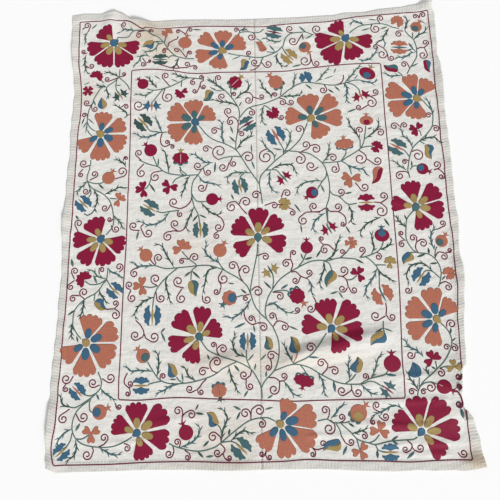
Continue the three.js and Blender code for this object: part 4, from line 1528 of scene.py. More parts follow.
        (217.2, 352), (219.5, 355.5)], [(257.5, 323), (255.8, 323.5)], [(281, 321), (276.7, 321.7),
        (272.7, 327.5)], [(271.5, 365), (271.3, 361.5), (270, 359.5)], [(250.5, 375.5), (251.7, 370)],
        [(246, 384), (246.3, 379.5)], [(279.5, 386), (279.3, 381.3), (275, 378), (269, 377.7)],
        [(283.5, 380.8), (279.4, 381.3)], [(328, 364.5), (327, 369), (322, 374.5)], [(351, 384.5),
        (351.8, 389), (350, 391.7)], [(451, 391), (457, 391.3), (461, 396.5), (463, 402)], [(66, 411.7),
        (69.7, 409)], [(93.5, 450.5), (92, 446.5)], [(104, 444.5), (98, 447.3)], [(182, 424),
        (182.3, 416.5), (182.8, 413)], [(182.3, 416.5), (184.5, 413.5)], [(174, 451), (172.8, 446.3)],
        [(189.3, 453.3), (184.7, 450.3)], [(220.5, 437), (221.3, 443)], [(223.5, 453), (225, 449),
        (220.5, 443.8)], [(224.5, 458), (223, 453.5)], [(250.8, 420), (251, 415), (251.5, 409.7)],
        [(265.7, 455.5), (266, 451.5), (266.3, 449.5)], [(315.5, 451.5), (312.3, 447.7)], [(327.5, 419),
        (329, 416)], [(338.7, 423.3), (343, 421.3)], [(330.5, 420), (334.8, 424.5)], [(312, 447.5),
        (317, 449.7), (323.5, 448)], [(341.3, 436), (345.5, 443)], [(375.5, 410), (381, 412.5)],
        [(371.3, 418.7), (372.3, 416.8)], [(362.5, 431.3), (365.5, 432.5)], [(407, 440.3), (411.5, 444),
        (412, 447), (410.7, 450)], [(412, 447), (414.5, 450.3)],
    ],
    "dark": [
        [(263.3, 57.3), (261.7, 60), (261, 62.7), (259.5, 65.3)], [(94.7, 209), (92, 213),
        (87.5, 215.3), (84, 213.5)], [(438, 229), (435.3, 229.3)], [(115, 403), (117, 407.5)],
        [(380, 417.5), (378.7, 415)],
    ],
    "teal": [
        [(87.5, 130), (89.5, 133.6), (92.5, 136.5)], [(139, 160), (148, 164), (158.5, 167), (163, 171),
        (172, 174.3), (186, 175.3), (198, 174.8)], [(76, 439), (82, 439), (89, 435)],
    ],
    "orange": [
        [(297.5, 353), (296, 358), (293, 363)],
    ],
}
SPRIGS = {
    "green": [
        (3, [(163, 43.5), (158, 44.5), (156, 48), (152, 51), (147, 51.5), (142, 50.5)]),
        (4, [(150, 56.5), (145, 55.2), (141, 56), (139.5, 60), (137, 63.5), (132, 66)]), (2, [(88, 32),
        (86, 35), (85, 38), (85.5, 41), (88, 44)]), (4, [(281, 40.3), (279, 41.7), (273, 41.2),
        (268, 39.5), (262.5, 37.4)]), (4, [(345, 82.3), (350, 77), (353.5, 73), (357.5, 67.8),
        (363, 66.2)]), (3, [(316, 82), (320, 78.5), (324, 73), (327, 70.3), (331, 69.4)]),
        (3, [(291.5, 89.5), (293.8, 84), (294.3, 78.5), (297.5, 72.9)]), (3, [(153.5, 90.5), (150, 93),
        (145, 95.4), (139.5, 94.7), (134, 93)]), (4, [(263.8, 105.5), (262, 113.3), (262.3, 120.7),
        (265.7, 126.5)]), (4, [(283, 154), (289, 142.8), (290.2, 134.5), (285, 126.6)]),
        (3, [(274.7, 160.5), (273.3, 154), (265.3, 146.5), (261.3, 136.5)]), (3, [(322.5, 162.5),
        (327.5, 156.5), (328.8, 149), (330.5, 141.2)]), (4, [(412.5, 148), (409.3, 140.7),
        (402.8, 134.8), (400.5, 127)]), (3, [(406.5, 170), (399.3, 165.4), (391.8, 159)]),
        (4, [(87.5, 181), (83.5, 185.5), (79, 189.5), (76, 195)]), (4, [(114, 215.5), (117, 219),
        (121, 224), (123.3, 230.5)]), (4, [(251.5, 173), (235, 172.7), (228, 177), (227.7, 185.5)]),
        (4, [(322.5, 181.2), (313, 181), (300.5, 185), (295.3, 196)]), (3, [(106, 279), (98, 276.5),
        (93, 271), (86.5, 269.3)]), (4, [(371, 378.5), (375, 370), (378.5, 357.5), (384.8, 353.7)]),
    ],
    "dark": [
        (3, [(179, 58), (177, 62), (175, 66), (172, 68)]), (4, [(86, 55), (85, 60), (85, 65), (86, 70),
        (88.5, 75)]), (2, [(240, 30.7), (243, 29.4), (247, 29)]), (4, [(277.5, 53), (276.3, 57.5),
        (277.5, 61), (281, 65), (284, 66.3), (288.5, 66.5)]), (4, [(389, 28), (387, 31.5), (384, 36),
        (382, 40), (379, 41.5), (375.3, 42.4)]), (3, [(405, 31), (405.2, 28), (407, 22.5),
        (406.5, 18.5), (404, 15.2)]), (3, [(413.5, 40), (416, 37), (419, 34.7), (423, 33), (426, 29.5),
        (428.6, 26.3)]), (2, [(106.5, 87.2), (101, 86.3), (96, 85.3)]), (2, [(107, 87), (106.6, 90),
        (108, 94), (108.8, 99.5)]), (3, [(124, 118.3), (126.6, 116), (126.5, 113), (124, 110.6),
        (119, 107.5), (116, 105), (113.3, 102)]), (3, [(126, 167.3), (124, 163.8), (121.3, 161.6),
        (118, 160), (115.3, 157)]), (3, [(168.7, 173), (168, 166), (166.3, 158), (164.8, 151.7),
        (160.2, 147)]), (4, [(235, 99.5), (240.7, 94.3), (248.5, 88.7), (247.5, 78.8)]),
        (4, [(271.7, 98.5), (269.5, 93.7), (262.5, 87), (260.5, 78.7)]), (4, [(238.3, 107), (231, 103),
        (219, 101.3), (209.8, 98.3)]), (4, [(281.5, 96.3), (291, 96), (298, 95.5), (303.3, 91.8)]),
        (4, [(236.5, 149.7), (243.3, 140.3), (250, 136.7), (253, 130.3)]), (4, [(360, 140),
        (356.7, 134), (349.2, 124), (348.8, 116.7)]), (3, [(365, 138.8), (374, 132), (378.6, 125.3),
        (378.3, 117.2)]), (4, [(420, 141), (426.7, 138), (435, 137.6), (441.2, 143.8)]), (3, [(119, 77),
        (112, 73.5), (104, 71.5)]), (4, [(157, 88), (152, 82.5), (147, 75.5)]), (4, [(189, 78),
        (180, 76.3), (172, 72.5)]), (3, [(224, 91), (215, 83.5), (207, 77)]), (4, [(94, 189),
        (97.5, 199), (94.7, 209), (95.7, 212.3)]), (4, [(104.7, 194.3), (112, 191), (120.5, 187),
        (126.5, 189.7)]), (4, [(190, 176), (186.5, 181), (183.5, 191), (180, 196.3)]),
        (4, [(201, 202.3), (209, 211), (216, 214.8), (223.7, 212.5)]), (4, [(194, 207), (189, 218.5),
        (186, 225.5), (189, 234)]), (4, [(272, 169), (280, 165.3), (292, 165.3), (297.5, 177.5)]),
        (4, [(348.5, 204.5), (352.3, 214), (351.3, 221), (354.7, 226)]), (4, [(381, 217), (367, 223.8),
        (360.7, 232), (361.5, 239)]), (4, [(406, 227.5), (401, 223), (398, 220), (396.3, 214.5)]),
        (3, [(99.3, 290), (101, 295), (104.5, 299.5), (107, 305)]), (4, [(84.3, 300), (83.3, 306),
        (82, 312), (78.5, 320)]), (4, [(174, 267.5), (166.5, 255), (162, 246.5), (154, 243)]),
        (4, [(168, 276), (165.6, 283), (169, 297), (170.7, 305.5)]), (4, [(217, 267.8), (208, 271),
        (205, 283), (202.3, 295)]), (5, [(154, 297), (143, 302), (135.3, 312), (135.8, 320.5)]),
        (4, [(326.5, 260), (334, 254), (338, 241), (343, 236)]), (4, [(323.5, 261.5), (324.5, 268),
        (320, 281), (321.5, 291)]), (3, [(371.5, 254), (374, 247), (371.8, 238), (373, 230.5)]),
        (3, [(379, 250), (387, 246.8), (391, 242.5), (391.8, 237.5)]), (3, [(378, 269), (383, 275),
        (390, 278.7), (395, 284)]), (6, [(433, 271.5), (423, 263.5), (411, 266), (406.5, 277),
        (411, 285.5)]), (4, [(72.5, 323), (71.3, 331), (71.8, 340.5)]), (3, [(72, 407.5), (64, 405.5),
        (61, 400), (61.3, 392.5)]), (4, [(157, 376.5), (158.7, 364), (157.8, 355), (154.3, 349)]),
        (3, [(196, 381), (189, 376.5), (185, 368), (181.3, 365.3)]), (3, [(293, 363), (288.5, 354.5),
        (285, 347), (284.5, 341)]), (5, [(246.7, 357.5), (236, 352.8), (232.8, 342), (236.5, 332)]),
        (4, [(228.7, 366.5), (231.5, 378), (236, 387), (238.3, 395.5)]), (2, [(429, 375.5),
        (427, 371.5), (425.5, 366.5)]), (4, [(418, 390), (414, 383.5), (409.3, 377), (408.5, 370.5)]),
        (4, [(75.5, 440), (76.3, 448), (73.5, 456), (65, 462)]), (5, [(221.7, 440), (223, 430),
        (227.2, 417), (219.5, 406)]), (4, [(231, 441), (238, 434), (245, 431), (254, 435)]),
        (3, [(352.5, 433.5), (358, 432), (363, 430.3), (369, 428)]),
    ],
    "teal": [
        (3, [(134, 30.5), (128, 29.7), (121, 30)]), (3, [(364.3, 25), (360, 23.2), (356, 21.2),
        (352.5, 22), (348.5, 24.8)]), (4, [(358.5, 59.3), (364, 60.3), (369.5, 58.9), (374, 54.5),
        (376.3, 51), (379, 48.5)]), (3, [(401, 75.5), (394, 75.8), (389, 75.8), (386.5, 74),
        (384.3, 71)]), (3, [(359.5, 80), (365, 81.5), (371, 82.8), (375, 82), (378, 79.5)]),
        (4, [(415, 52.7), (411, 53), (406.5, 56.3), (401, 57.4), (395, 57.3)]), (2, [(162.3, 132.5),
        (159.7, 128), (158.2, 122.5), (155.5, 118.8), (152, 116.2)]), (5, [(162, 132.5), (157, 133.5),
        (152, 136), (146, 137.2), (141, 136.7), (137, 134.7), (133, 131)]), (4, [(225, 144),
        (222.7, 140.5), (222, 135), (222.2, 126), (220.7, 121.5), (218.5, 118.8)]), (4, [(213, 162.7),
        (207, 162.6), (202, 160.2), (198, 157), (194.5, 154.5), (189, 153.2)]), (5, [(344.3, 82.8),
        (347.3, 89.5), (346.4, 97), (348.5, 104.5)]), (3, [(433, 115.5), (430.8, 107.3),
        (425.3, 96.2)]), (3, [(198.3, 175.5), (204, 182), (215, 184), (222.7, 189)]), (5, [(169.5, 212),
        (162, 221), (149, 225), (136, 219.3)]), (4, [(270.3, 170.5), (269.3, 180), (271, 188),
        (279, 195)]), (4, [(325, 213), (317, 219), (313, 226), (315.7, 234.5)]), (4, [(347, 164.5),
        (356, 168.3), (364, 170), (367.5, 177)]), (5, [(434.5, 250), (431.3, 242), (431.3, 233.5),
        (435.7, 226)]), (3, [(108.3, 268.5), (112, 272.3), (119, 275), (123, 281)]), (4, [(155, 265.7),
        (145, 266), (137, 266), (131.5, 260.5)]), (5, [(219.5, 263.5), (210, 257.5), (205, 251),
        (207.5, 240.5)]), (5, [(251, 299), (244, 310), (232, 318), (222.5, 314)]), (4, [(266, 306.5),
        (273, 303.3), (285, 311.5), (295, 313.7)]), (3, [(308, 279), (311.3, 285), (311.3, 291),
        (313.5, 297.5)]), (5, [(377.5, 268), (373, 278), (365.5, 290), (368.5, 301.5)]),
        (3, [(100.5, 388), (105, 393.5), (112, 398), (115, 403)]), (4, [(152.5, 371.3), (140, 370.5),
        (130, 370.7), (125, 363)]), (4, [(179, 384.2), (170, 386.5), (163, 391), (155, 393.8)]),
        (3, [(283.5, 381), (288, 386), (292.5, 393), (302, 398)]), (4, [(318, 373), (323, 382),
        (324, 390), (325.3, 397.5)]), (4, [(349.5, 380.5), (349, 372), (348.3, 363), (351, 356)]),
        (3, [(361, 384.5), (367, 390), (372, 393.5), (378.5, 395)]), (5, [(423.5, 356.7), (416, 350),
        (408, 346), (404.5, 337.5)]), (3, [(71.5, 429), (64, 433.5), (58.5, 440), (54.7, 447.5)]),
        (4, [(99, 447.7), (105, 451), (112, 454.7), (122, 454.8)]), (5, [(180.5, 447.5), (193, 441.5),
        (199.7, 432), (197.7, 422.3)]), (3, [(331, 418.5), (337, 412), (340, 407), (347.5, 404)]),
        (5, [(403, 409), (394, 405.3), (384, 410.5), (371, 416.5)]),
    ],
}
LEAVES = {
    "green": [
        (5, 116.5, 33.5, 121.5, 31.8), (6, 96, 85.5, 105, 86.5), (5, 116, 85.5, 121.5, 85.3),
        (6, 306, 39, 313, 34.4), (8, 292.5, 66.8, 301.5, 64.6), (6, 368.3, 19.2, 376.5, 20.2),
        (7, 361.5, 30.7, 369.5, 28.3), (7, 380.3, 29, 387.5, 26.8), (5, 357.8, 74.7, 354.3, 79.3),
        (4, 324.3, 78.9, 333.5, 75.8), (5, 335.9, 68.2, 334, 73.2), (4, 421, 20.8, 425.7, 23.8),
        (7, 411, 67, 418, 63.3), (7, 158.6, 158.4, 158, 166.5), (8, 230.3, 126, 233, 133.4),
        (6, 251.3, 144.3, 251.7, 153), (5, 171, 79, 178, 82), (4, 84, 85, 90, 82),
        (10, 75.7, 215.5, 78.5, 219.5), (8, 138.5, 231, 136.5, 240), (8, 231.3, 194.3, 233.7, 199.7),
        (7, 300.7, 224.5, 302, 233), (8, 321, 185, 324.5, 192.5), (11, 71.5, 259, 73, 267),
        (9, 93.5, 275, 97, 284), (6, 228, 283, 234.5, 284), (7, 303, 259.5, 301, 253.7),
        (8, 338, 291.5, 330.3, 294), (7, 338.5, 291.5, 343.5, 299), (7, 170, 379.5, 176.3, 379.5),
        (7, 183, 382, 182, 373), (7, 288.5, 326, 298, 330), (7, 253.5, 325, 255, 332.5),
        (6, 247.7, 361, 254, 354), (7, 260.5, 360.3, 266.5, 354), (7, 254.5, 370, 255.8, 363.5),
        (8, 266, 377.5, 266.5, 371), (8, 248, 390.7, 244, 397), (7, 273, 395, 267.5, 398.5),
        (6, 384, 328.3, 393, 331.7), (10, 80, 423.5, 75.3, 431), (8, 206, 457, 213.7, 456),
        (9, 241, 410, 233.5, 406.2), (7, 265, 409.5, 273, 407.3),
    ],
    "dark": [
        (6, 82.3, 30, 85.3, 27.3), (6, 92, 29, 97, 24.5), (6, 193, 29.6, 201, 29.8),
        (6, 302.3, 34, 303.2, 40), (7, 345.2, 83.5, 347.5, 90), (6, 405.7, 51, 412.7, 48.8),
        (5, 87.7, 118.3, 94, 123.7), (6, 84.8, 117.6, 81.4, 124.8), (5, 87.3, 121.5, 83, 127.7),
        (6, 210, 87.2, 217.5, 91), (5, 241.7, 101.7, 238.8, 106.5), (7, 229.3, 136.3, 235.7, 142.5),
        (6, 273.3, 148.6, 282.3, 149.8), (7, 305.5, 84.2, 312, 89.3), (7, 334.5, 86, 340, 91.2),
        (8, 328, 89.2, 333.7, 92.8), (7, 347.3, 112.3, 356.3, 108.7), (6, 367.7, 129, 372, 127.7),
        (7, 411.7, 160.8, 411.7, 166.7), (5, 154.5, 75.5, 160.5, 79.5), (8, 98.5, 184, 103.8, 189),
        (8, 198, 215, 192.5, 221.5), (7, 199.5, 214.8, 206.5, 218), (8, 149.4, 183.5, 155.5, 192.5),
        (7, 294.5, 204, 300.5, 212), (7, 345, 193.7, 352, 192.3), (9, 384, 218.3, 389.5, 226),
        (7, 345.7, 226, 350.3, 233.5), (7, 404.3, 214.8, 406.8, 220), (8, 75, 310, 67.8, 315.3),
        (8, 191, 271.5, 184.5, 276.5), (9, 192, 271, 200, 278.5), (8, 246.8, 293.7, 240.8, 289),
        (8, 271.5, 289, 264, 281.5), (9, 304.5, 259.5, 312.5, 257.3), (8, 316.3, 257.3, 321, 250),
        (8, 355, 258.8, 364, 263.5), (9, 425.5, 254, 417, 257), (9, 428.3, 248, 429, 254),
        (8, 438, 263, 430, 263.7), (6, 445.5, 275.5, 442, 280), (7, 161, 332.5, 165, 328),
        (7, 76.5, 336, 78, 342.5), (7, 209.5, 360, 207.3, 354.5), (9, 234.3, 365, 239.5, 371.7),
        (6, 383.5, 328, 375, 332.7), (8, 450.3, 334, 451, 328), (6, 452, 341.5, 455.5, 337.8),
        (7, 431.3, 366.3, 436, 369.5), (7, 195.5, 410, 198.5, 404.3), (8, 195.5, 413, 204, 414.3),
        (9, 209, 441, 203.3, 446.5), (9, 197.5, 451.5, 203.5, 457.8), (9, 228.5, 435, 230, 429),
        (8, 240.5, 411.5, 236.5, 420), (8, 348.5, 423, 354.5, 427), (10, 377.3, 450, 377.7, 458.5),
        (8, 391.5, 440.5, 398.3, 436),
    ],
    "teal": [
        (5, 231.9, 59.5, 240.5, 56.3), (7, 269.3, 45, 274.8, 51.5), (8, 298.7, 26.3, 306, 32.3),
        (5, 386, 42.3, 383.7, 48), (9, 408.3, 42.8, 413.3, 49), (7, 93.2, 100, 95.7, 105.8),
        (6, 87.3, 122.5, 85.6, 133.2), (7, 251.5, 160.5, 254.7, 169), (9, 215.5, 162, 214.5, 172.5),
        (9, 245.5, 323, 234.5, 328), (9, 281, 289, 288, 284.5), (8, 161, 332, 165.5, 342),
        (8, 96.5, 394, 99, 400), (8, 308.5, 357, 319, 357.7), (11, 333.5, 381, 335.3, 392),
        (9, 385.5, 374.3, 396.5, 375.7), (10, 347, 446, 343, 455), (8, 392.5, 441.3, 398.5, 444.5),
        (10, 414.5, 451.5, 407, 458.7), (9, 461.5, 409, 463.7, 418.5),
    ],
}
# Sizes in millimetres, the slant in degrees, and each taper as a share of the width
THORN_LENGTH = 18
THORN_WIDTH = 6.5
THORN_SLANT = 34
THORNS_MORE = 1.5
SPRIG_WIDTH = 8.5
LEAF_FULLNESS = 1.2
SPRIG_TAPER = ((0, 0.3, 0.65, 1), (0.4, 1.0, 0.85, 0.12))
THORN_TAPER = (1, 0.85, 0.6, 0.15)
THORN_RISE = 0.9


def work_sprig(work, row):
    """A heavy line that thins out to its tip, with thorns slanting forwards on either side."""
    path = curve_through(on_cloth(row.places))
    run = tangents(path)
    share = np.linspace(0, 1, len(path))
    band(work, path, SPRIG_WIDTH * np.interp(share, *SPRIG_TAPER) / 2)
    thorns = round(row.thorns * THORNS_MORE)
    for k in range(thorns):
        place = int((k + 0.7) / (thorns + 0.6) * (len(path) - 1))
        side = 1 if k % 2 else -1
        way = turned([run[place]], side * THORN_SLANT)[0]
        thorn = path[place] + way * np.linspace(0, THORN_LENGTH, 4)[:, None]
        half = THORN_WIDTH / 2 * np.array(THORN_TAPER)[:, None]
        across = np.array([-way[1], way[0]]) * half
        strip(work, thorn + across, thorn - across, mm(sizes().relief) * THORN_RISE)


class SUZANI_OT_work_vines(bpy.types.Operator):
    """Work the vines, the thorned sprigs and the narrow leaves"""

    bl_idname = "suzani.work_vines"
    bl_label = "Work Vines"
    bl_options = {"REGISTER", "UNDO"}

    def execute(self, context):
        vines, sprigs, leaves = (defaultdict(Stitching) for _ in range(3))
        for silk, paths in VINES.items():
            for places in paths:
                line(vines[silk], curve_through(on_cloth(places)), mm(sizes().vine))
        for silk, rows in SPRIGS.items():
            for row in rows:
                work_sprig(sprigs[silk], Sprig(*row))
        for silk, rows in LEAVES.items():
            for row in (Leaf(*columns) for columns in rows):
                ends = on_cloth([(row.u0, row.v0), (row.u1, row.v1)])
                leaf(leaves[silk], curve_through(ends, 3.5), row.width * LEAF_FULLNESS)
        for kind, works in (("vines_", vines), ("sprigs_", sprigs), ("leaves_", leaves)):
            make_all(kind, works)
        return {"FINISHED"}


# Curls: a plum line coiled at one end. way is 1 where the coil opens clockwise and -1 where it
# opens the other way, and the line leaves the coil for its end

Curl = namedtuple("Curl", "u v radius end_u end_v way")
CURLS = [
    (87.3, 26, 12, 88, 32, 1), (123.8, 25, 9.5, 124.5, 30, -1), (139, 35, 10.5, 145, 30.6, 1),
    (151.5, 31, 8, 149.5, 33, -1), (178.2, 31.6, 7.5, 185.5, 34, 1), (190.2, 30, 8.5, 185.7, 34, -1),
    (177, 50.2, 10.5, 186, 57.5, 1), (189.8, 52.8, 8, 186.5, 57.5, -1), (164.5, 51, 8, 168.5, 49.5, 1),
    (187, 64.5, 11, 179, 68, 1), (195, 67.7, 8.5, 190, 66.5, -1), (143.3, 64, 10, 142.5, 58, -1),
    (149.5, 60.9, 5.5, 146.7, 62.3, 1), (83.8, 51.8, 8, 87.5, 53, -1), (91.5, 66, 10, 86, 66, 1),
    (107.5, 79.3, 9.5, 119, 77.5, -1), (123.8, 74.2, 7.5, 120, 76.8, 1), (236.3, 30, 8.5, 240, 32.5, 1),
    (251.3, 37, 14.5, 253, 32.5, -1), (249, 53.2, 9.5, 250.5, 57, -1), (254.7, 62.5, 13, 260, 65.7, -1),
    (268, 64, 14.5, 260.7, 61.5, 1), (289.8, 29, 13, 293, 32.7, -1), (293, 40.8, 16, 302.5, 33.5, -1),
    (305, 60.7, 20, 310.3, 54, -1), (316.3, 63.3, 12.5, 310.5, 57, 1),
    (316.8, 29.3, 16.5, 318, 34.6, -1), (380.5, 18.6, 12, 380, 23.5, -1),
    (375.5, 28.8, 17, 372, 24.3, 1), (376, 47, 10, 383.5, 48, 1), (382.3, 54.2, 18, 383.5, 48, -1),
    (391.3, 58, 11, 387.5, 54, 1), (398.8, 34, 12, 403.3, 31, 1), (404.3, 64.5, 11.5, 409.7, 68, 1),
    (415.3, 16.5, 9, 419.3, 18.5, 1), (422.7, 15, 10, 419.3, 18, -1), (425.3, 42.7, 11.5, 424, 47.5, 1),
    (423, 55, 15.5, 424.3, 47.6, -1), (87, 103, 11, 90.8, 105.3, -1), (95, 109, 10.5, 91.3, 104, 1),
    (84.5, 115.3, 9, 87.5, 118, 1), (126, 106.7, 9, 121.2, 107.3, -1),
    (83.8, 163.5, 14, 89.8, 165.3, -1), (126, 158.3, 7, 123.3, 161, -1), (168, 97, 20, 165.2, 88.3, 1),
    (138.7, 105.3, 19, 146, 105.8, -1), (167.2, 142.3, 8, 169, 145.5, 1),
    (172.2, 146.8, 8, 169, 144.8, -1), (165.7, 76, 13, 170, 86.5, -1), (193, 82.5, 10, 195, 78.5, 1),
    (194.8, 91, 9, 199.5, 87, -1), (203.5, 86.8, 8.5, 199.8, 84.5, 1),
    (214.7, 131, 12.5, 221.3, 129.5, 1), (206.2, 149, 12.5, 212.3, 148.7, 1),
    (219.5, 151.7, 26, 218.8, 160, -1), (139, 153.3, 13, 141.5, 160.5, -1),
    (218.4, 78, 11, 216.5, 84.5, -1), (201.3, 77.3, 8, 203.5, 80.5, 1),
    (221.9, 96.6, 12.5, 223, 101, -1), (234, 94.3, 8.5, 231.5, 97, -1),
    (228.2, 111.5, 14, 228.7, 117.5, -1), (230.5, 122, 11.5, 229.3, 117.5, 1),
    (241.3, 134, 10.5, 237.7, 133, -1), (251.5, 112.7, 12, 249.5, 107.8, -1),
    (248.5, 100, 14, 252.8, 96, -1), (261.4, 96.7, 10, 253, 97, 1), (274.9, 94.8, 9, 271.7, 96.5, -1),
    (282.4, 102.3, 12.5, 278.8, 97.7, -1), (290.8, 102.3, 11, 285.8, 103.2, 1),
    (281.3, 117.3, 9.5, 276.7, 116.8, 1), (265.8, 156.8, 25, 267, 149, 1),
    (248.2, 157.2, 21, 241.5, 156.5, -1), (233.3, 163.5, 12, 232.3, 157.3, 1),
    (299.3, 129.2, 15, 303.8, 133, 1), (305.8, 145, 15.5, 301, 151.8, 1),
    (315.8, 149, 17, 310, 145.8, -1), (300, 159.3, 20, 298, 151.6, -1), (323, 90, 13.5, 323.7, 84, -1),
    (375.2, 92, 11.5, 371, 96.4, 1), (371.3, 102.7, 19, 370, 96.2, -1),
    (358.9, 107.3, 10.5, 368, 105, -1), (359.8, 130.2, 13, 357.3, 135, -1),
    (380.3, 132.6, 14, 375.4, 130.6, -1), (332.8, 157.8, 15, 327.8, 156.8, -1),
    (360.3, 158.5, 23, 358.7, 150.2, -1), (377.3, 160.7, 16, 367, 159, 1),
    (394.3, 126.3, 13.5, 400, 126.5, 1), (404.3, 125.3, 11, 400.7, 128, -1),
    (404.8, 161.8, 9, 408.7, 161, 1), (428.7, 115.3, 10, 432.5, 114.5, 1),
    (435.9, 128.7, 12, 431.5, 126.5, -1), (417.8, 155.5, 21, 411.5, 151.8, -1),
    (436.8, 164.7, 14, 434.3, 170, 1), (81, 174.8, 9, 83, 169.3, 1),
    (94.5, 174.3, 12.5, 89.5, 180.3, 1), (122, 171.7, 18.5, 115, 179, 1), (86, 191.3, 12, 90, 189, -1),
    (105, 208, 12, 110.8, 204.5, -1), (109.7, 219.4, 8.5, 113.2, 218.7, -1),
    (116, 229, 12.5, 111.3, 225.5, 1), (78.7, 223.5, 14, 78.3, 232, -1),
    (133.5, 226, 15, 140, 230.5, -1), (141.3, 173, 16, 144, 163.8, 1), (155.3, 177, 18, 162, 170.8, 1),
    (198, 166, 15, 203, 168.5, -1), (208, 172.3, 12, 203.3, 168.3, 1), (223, 167.3, 16, 229, 162.5, -1),
    (201.7, 187.7, 15, 207.2, 184, -1), (173.7, 202.3, 16, 180, 208.9, -1),
    (180, 214.3, 10, 178.7, 210.3, 1), (175, 224, 15, 178, 231.2, -1), (168, 236.7, 17, 174, 230.8, 1),
    (148.3, 233, 16, 140.7, 228, 1), (218.7, 227.3, 16, 222.5, 229, -1),
    (216.8, 236, 11, 218, 231.5, 1), (256, 195, 15, 261.2, 194, 1), (245.7, 202, 19, 239, 204.5, -1),
    (231.5, 207, 18, 235.5, 201.3, 1), (274.3, 205.6, 12, 264.5, 205.5, -1),
    (287, 193.3, 14, 281.3, 197.3, -1), (292.3, 212.8, 11, 288.5, 207.5, -1),
    (313.6, 206.6, 14, 312.3, 212, -1), (303.2, 220.5, 17, 306, 212.3, 1),
    (311, 166, 18, 318.5, 167, -1), (335, 169, 15, 337.5, 162.3, -1), (341, 192, 13, 339, 196.5, 1),
    (383.5, 196, 15, 381, 202.7, 1), (381.3, 211, 22, 380.7, 203, -1), (338, 207, 14, 338.3, 211.8, 1),
    (343, 224, 9, 346.3, 222.3, -1), (364.5, 187, 16, 355.3, 182.5, 1), (400, 175.7, 15, 405, 171.3, 1),
    (321.5, 239, 9, 323.5, 244.8, -1), (401.2, 233.5, 9, 405.5, 240.8, -1),
    (402, 244.3, 11, 403.5, 240.3, 1), (441.5, 176.5, 10, 444.7, 175, -1),
    (442.5, 223.3, 11, 438, 229, 1), (413, 238, 13, 416.5, 241.5, 1), (423, 243.3, 15, 416.7, 242, -1),
    (75, 271.3, 13, 74.5, 279.5, -1), (101.8, 270, 10, 99.3, 274.5, -1),
    (119.3, 267, 14, 119, 272.3, 1), (70.7, 287, 11, 74.5, 280.5, 1), (83.8, 292.5, 16, 84.5, 299, -1),
    (73, 298.7, 12, 79.5, 295.8, 1), (115.5, 303.5, 11, 114.7, 308.5, 1),
    (115.3, 315, 16, 114.7, 309, -1), (134.3, 273.5, 14, 138, 267, 1), (129.3, 285, 13, 131, 290, -1),
    (132, 298, 15, 131, 290.3, 1), (158.5, 258, 15, 156, 264.3, -1),
    (194.7, 257.5, 15, 189.3, 259.3, -1), (182, 261.3, 10, 188.5, 259.3, 1),
    (155.5, 279, 18, 157.5, 285.6, -1), (178.3, 281.5, 18, 184, 288, -1),
    (181.3, 298.5, 17, 182, 288.7, 1), (161, 298.3, 15, 156, 292, 1), (207, 299.5, 15, 202.3, 295.5, 1),
    (223.5, 278.8, 19, 222.3, 270.6, 1), (216.5, 291.7, 11, 221, 287, -1),
    (265.3, 256.8, 13, 257.3, 255.7, -1), (232.7, 265.8, 16, 239, 268.5, 1),
    (245.5, 270, 17, 239.5, 271.5, -1), (245.7, 298.3, 10, 249.5, 294.3, 1),
    (257.7, 291.7, 19, 251.5, 290.7, -1), (286.3, 263.5, 14, 290.5, 259.7, 1),
    (293.5, 253, 10, 290.5, 258.5, -1), (295.5, 280.5, 12, 300.8, 276, -1),
    (309, 272.8, 12, 306.5, 277.8, 1), (279.8, 296.3, 14, 272.5, 292.3, -1),
    (272.3, 316, 12, 277, 320.5, 1), (251.3, 318.7, 11, 255.7, 322.5, 1),
    (297.2, 310, 10, 295, 313.7, 1), (310.8, 308.7, 14, 316.3, 303.5, -1),
    (324.6, 250, 13, 323.5, 244.8, 1), (342.3, 252, 10, 341.5, 257, 1), (362, 250, 12, 360.5, 257, 1),
    (378.4, 256.7, 12, 376, 252.2, -1), (343.8, 270.5, 16, 342.5, 276.5, 1),
    (342.5, 288.8, 13, 347.5, 287.5, -1), (354, 290, 12, 348.7, 287, 1),
    (375.7, 316, 17, 385.5, 316, -1), (392, 317, 13, 386.3, 315, 1), (444, 256.5, 13, 439, 251.7, -1),
    (449.3, 250.3, 8, 446, 252.3, 1), (408.2, 290.3, 12, 411.8, 287, -1),
    (448.2, 287, 13, 446, 281.5, -1), (451.3, 324, 16, 446.8, 327.5, -1),
    (66.3, 379, 17, 73.3, 376, -1), (65.7, 389.3, 10, 66, 384.5, 1), (93, 383, 16, 100, 385, -1),
    (110.3, 378, 17, 102, 378.5, 1), (135.3, 335.5, 17, 142.7, 337, -1), (154, 337, 18, 146, 338.5, 1),
    (130, 384, 10, 128.7, 387.7, 1), (127.7, 393.7, 9, 129.8, 389.5, -1),
    (163, 376.3, 10, 160.2, 379.5, -1), (189.8, 389, 13, 196.5, 390, -1),
    (201, 392, 10, 197.7, 390.3, 1), (203, 371.8, 15, 209, 368.5, 1), (216.7, 362, 16, 211, 361, -1),
    (213.5, 345, 10, 216.5, 347.5, 1), (223, 349, 15, 217.3, 348.5, -1),
    (263.3, 327.3, 15, 257.5, 323, -1), (284.7, 327, 14, 281, 321, -1),
    (271.5, 355.7, 16, 278.5, 355, 1), (268.3, 367.3, 11, 271.5, 365, -1),
    (244, 375, 15, 250.5, 375.5, -1), (250, 386.3, 13, 246, 384, 1), (274, 389.5, 18, 279.5, 386, -1),
    (284, 376.3, 12, 283.5, 380.8, 1), (310.8, 347.5, 16, 316, 347, 1), (321.3, 363, 15, 328, 364.5, 1),
    (334.5, 371, 15, 328.5, 368, -1), (365.5, 376.5, 11, 367, 380.8, 1), (342, 391, 16, 350, 391.5, -1),
    (358, 392.5, 15, 351.8, 390, 1), (441, 373, 14, 439.5, 368.5, -1), (412, 391.7, 11, 417.3, 391, 1),
    (423.7, 391.7, 10, 427, 389.8, 1), (430.7, 387.5, 17, 430, 382, -1),
